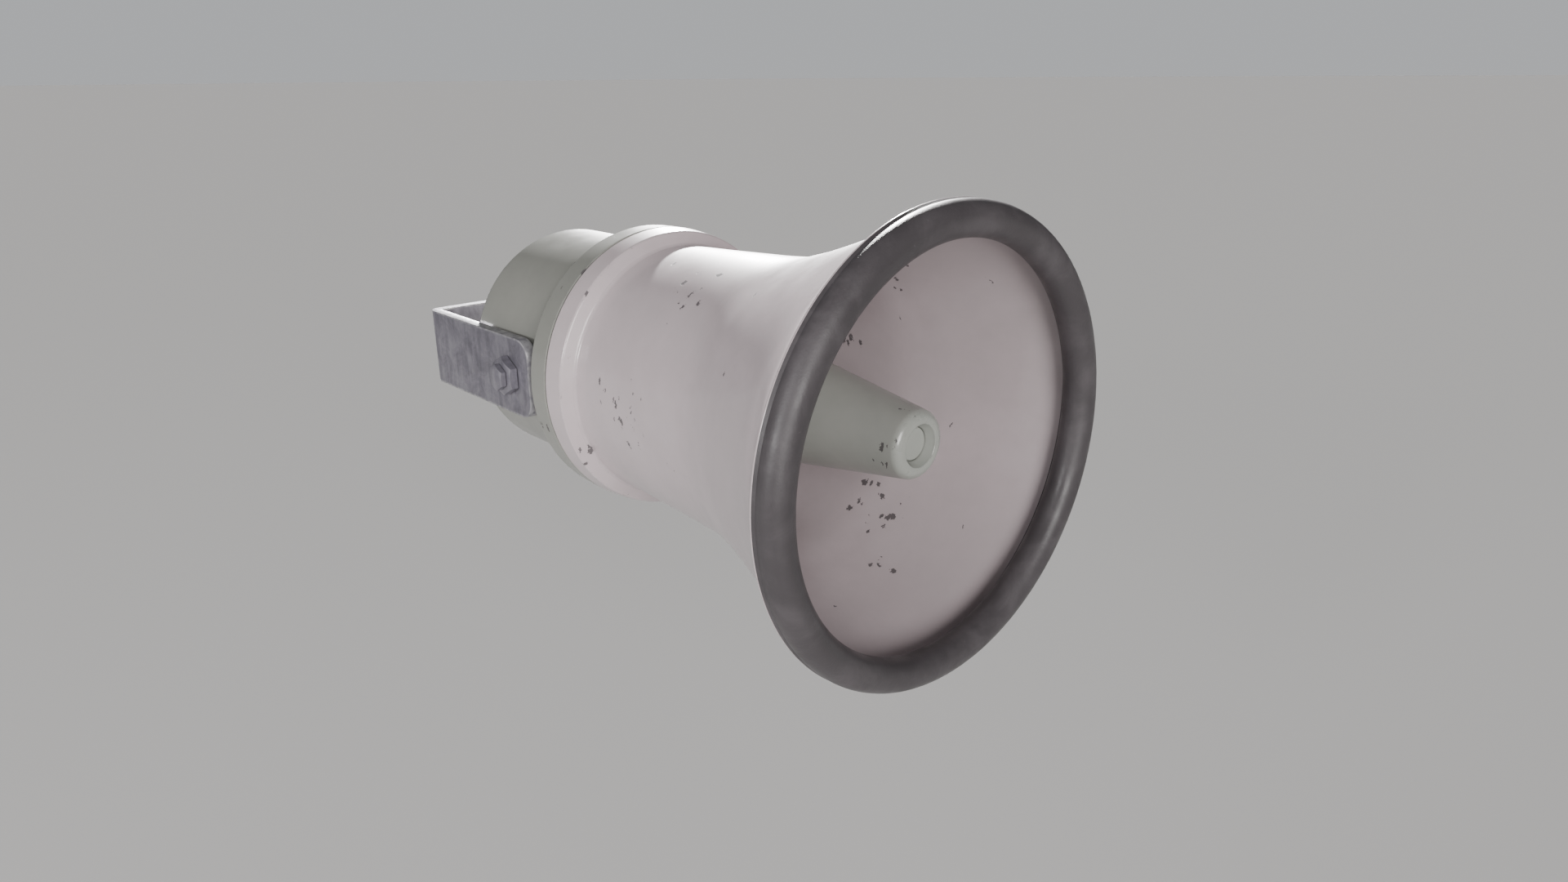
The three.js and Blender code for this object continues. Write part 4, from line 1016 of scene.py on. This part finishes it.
nose_knocks = [
    (16.0, 319, 168, 6), (16.8, 314, -164, 6), (16.0, 320, 107, 6), (10.5, 325, 60, 4.5),
    (10.2, 325, -10, 4.5), (20, 300, 20, 7), (20, 296, -70, 6),
]
nose_paint = chipped_paint("nose_paint", NOSE_GREEN, NOSE_GREEN_DULL, nose_knocks, 0.004, flake_mm=3.3)
finished(reflector, nose_paint, "grey_paint", "horn", "reflector")
cap_seat = CAP_SEAT_OUT + PLAY
cap_top = cap_seat + CAP_HIGH
nose_cap = turned_piece("nose_cap_disc", [
    (0, cap_seat), (CAP_R, cap_seat), *arc(CAP_R - 0.4, cap_top - 0.4, 0.4, 0, 90, 4), (0, cap_top),
], 64)
finished(nose_cap, nose_paint, "grey_paint", "horn", "nose_cap")


# ---------------------------------------------------------------- bell
# Spun from one sheet of aluminium: a skirt that meets the cover at the seam, a stepped shoulder, a long neck
# and the flared mouth. It is stove-painted a warm off-white, and has been knocked on the sides and inside.

LIP_R, LIP_OUT = 107.9, 334.9
NECK_OUT = 155.6
WARM_WHITE = (0.585, 0.505, 0.525)
WARM_WHITE_DULL = (0.53, 0.46, 0.475)


def through(points, steps):
    """A smooth curve through the points."""
    curve = []
    for i in range(len(points) - 1):
        p0, p1 = Vector(points[max(i - 1, 0)]), Vector(points[i])
        p2, p3 = Vector(points[i + 1]), Vector(points[min(i + 2, len(points) - 1)])
        lead, trail = (p2 - p0) / 2, (p3 - p1) / 2
        for step in range(steps):
            t = step / steps
            spot = (2 * p1 - 2 * p2 + lead + trail) * t ** 3 + (3 * p2 - 3 * p1 - 2 * lead - trail) * t ** 2
            curve.append(tuple(spot + lead * t + p1))
    return curve + [points[-1]]


def beside(outline, distance):
    """The line on the inner side of an outline that runs towards the mouth."""
    line = []
    for i, (r, out) in enumerate(outline):
        (r0, out0), (r1, out1) = outline[max(i - 1, 0)], outline[min(i + 1, len(outline) - 1)]
        length = math.hypot(r1 - r0, out1 - out0)
        line.append((r - distance * (out1 - out0) / length, out + distance * (r1 - r0) / length))
    return line


def rounded_edge(first, second, steps=6):
    """The half circle that closes a sheet's edge, from its outer line's end to its inner line's end."""
    centre = (Vector(first) + Vector(second)) / 2
    arm = Vector(first) - centre
    start = math.degrees(math.atan2(arm.y, arm.x))
    return arc(*centre, arm.length, start, start + 180, steps)[1:-1]


bell_outside = [
    (FLANGE_R, BASE_BACK_OUT),
    *arc(FLANGE_R - 2.5, 149.7, 1.6, 0, 70, 8),
    *arc(NECK_R + 2.5, NECK_OUT, 2.5, -110, -180, 9)[:-1],
    *through([
        (NECK_R, NECK_OUT), (70.3, 200), (72.9, 243), (78, 266), (84.7, 287), (92.9, 309), (101.2, 326),
        (LIP_R, LIP_OUT),
    ], 7),
]
bell_inside = beside(bell_outside, SHEET)[::-1]
bell = turned_piece("spun_bell", [
    *bell_outside, *rounded_edge(bell_outside[-1], bell_inside[0]), *bell_inside,
])
bell_knocks = [
    (69.5, 184, 176, 14), (70.5, 205, 174, 16), (70.5, 208, -174, 13), (71, 217, 129, 13),
    (71, 205, 121, 10), (72.5, 238, -168, 6), (76, 153, 161, 5), (75, 153, -153, 7), (75, 153, -124, 4),
    (75, 153, 68, 5), (74, 253, -55, 14), (77, 268, -57, 13), (82, 284, -74, 9), (82, 285, -16, 8),
    (90, 308, -45, 6), (90, 306, 42, 5), (76, 263, 48, 8), (71, 215, 20, 15), (73, 245, -30, 11),
    (88, 297, 75, 9), (75, 152, 12, 6), (71, 190, -78, 14),
]
bell_paint = chipped_paint("bell_paint_warm_white", WARM_WHITE, WARM_WHITE_DULL, bell_knocks, 0.005, 0.08)
finished(bell, bell_paint, "bell_paint", "horn", "bell")


# ---------------------------------------------------------------- rim bead
# Thick bead of black rubber moulded round the mouth, bonded inside the bell's lip with a small hook over its
# edge. It takes the knocks and lets the horn stand on its mouth.

MOUTH_R = 100.0
MOUTH_OUT = 340.0
BEAD_R = 7.9
ROOT_BACK_OUT = 329.6
LIP_EDGE_BARE = 0.55
BOND = 0.12

before_lip, lip = Vector(bell_outside[-2]), Vector(bell_outside[-1])
forward = (lip - before_lip).normalized()
inward = Vector((-forward.y, forward.x))
past_edge = lip + forward * (SHEET / 2 + BOND)
bead = turned_piece("rubber_rim_bead", [
    *arc(MOUTH_R, MOUTH_OUT, BEAD_R, -18, 258, 66),
    (100.6, ROOT_BACK_OUT + 1.6),
    (101.3, ROOT_BACK_OUT),
    *[point for point in beside(bell_outside, SHEET + BOND) if point[1] > ROOT_BACK_OUT + 0.5],
    tuple(past_edge + inward * (SHEET + BOND)),
    tuple(past_edge + inward * LIP_EDGE_BARE),
], 192)
bead_rubber = moulded_rubber("bead_rubber", (0.063, 0.056, 0.060), 0.43, 0.5)
finished(bead, bead_rubber, "rubber", "horn", "rim_bead")


# ---------------------------------------------------------------- inside the drum
# The driver, line transformer and terminals, screwed down and sealed under the cover: steel, ferrite, copper,
# nylon and resin-dipped film. Their CAD solids have the right shape, so they only get their finishes here.


def sintered_ferrite(name):
    material, tree, shader, place = start_finish(name, 0.78)
    grain = cloud(tree, place, 1.4, 6, 0.7)
    skin = tinted(tree, grain, (0.018, 0.018, 0.02), (0.055, 0.054, 0.056))
    tree.links.new(skin, shader.inputs["Base Color"])
    raise_surface(tree, shader, grain, 0.1, 0.6)
    return material


def wound_copper(name):
    """Enamelled wire laid side by side, so that the winding is finely ribbed."""
    material, tree, shader, place = start_finish(name, 0.32, 0.9)
    wires = {"Vector": place, "Scale": 700.0, "Distortion": 0.6}
    turns = put(tree, "ShaderNodeTexWave", wires, bands_direction="Y")
    shade = cloud(tree, place, 5, 4)
    tree.links.new(tinted(tree, shade, (0.40, 0.15, 0.06), (0.66, 0.31, 0.13)), shader.inputs["Base Color"])
    raise_surface(tree, shader, turns.outputs["Fac"], 0.15, 0.7)
    return material


def dipped_film(name):
    """Woven cloth stiffened with amber resin."""
    material, tree, shader, place = start_finish(name, 0.42, Coat_Weight=0.3)
    pitch = {"Vector": place, "Scale": 520.0}
    warp = put(tree, "ShaderNodeTexWave", pitch, bands_direction="X").outputs["Fac"]
    weft = put(tree, "ShaderNodeTexWave", pitch, bands_direction="Z").outputs["Fac"]
    weave = figure(tree, "MULTIPLY", warp, weft)
    pool = cloud(tree, place, 8, 4)
    tree.links.new(tinted(tree, pool, (0.17, 0.075, 0.025), (0.30, 0.15, 0.06)), shader.inputs["Base Color"])
    raise_surface(tree, shader, weave, 0.06, 0.6)
    return material


def carry_over(material, *starts):
    """Gives the finish to every CAD node still showing whose name starts so."""
    for node_name, node in frame["nodes"].items():
        if node_name.startswith(starts) and not node.hide_render:
            node.data.materials.clear()
            node.data.materials.append(material)


machined_steel = plated_metal("machined_steel", (0.42, 0.42, 0.425), 0.34, (0.26, 0.24, 0.23))
laminated_steel = plated_metal("laminated_steel", (0.27, 0.275, 0.29), 0.5, (0.12, 0.10, 0.09), 1.0, 0.8)
turned_brass = plated_metal("turned_brass", (0.62, 0.47, 0.20), 0.3, (0.36, 0.25, 0.10))
carry_over(machined_steel, "top_plate", "yoke", "pivot_insert", "seam_nut", "nose_screw")
carry_over(screw_steel, "driver_screw", "transformer_screw")
carry_over(laminated_steel, "transformer_core")
carry_over(cast_metal, "reflector_bridge")
carry_over(nylon, "gland_locknut", "phase_plug", "driver_housing", "terminal_block")
carry_over(sintered_ferrite("sintered_ferrite"), "magnet")
carry_over(wound_copper("wound_copper"), "voice_coil", "transformer_coil")
carry_over(turned_brass, "terminal_screw")
carry_over(dipped_film("dipped_film"), "diaphragm")
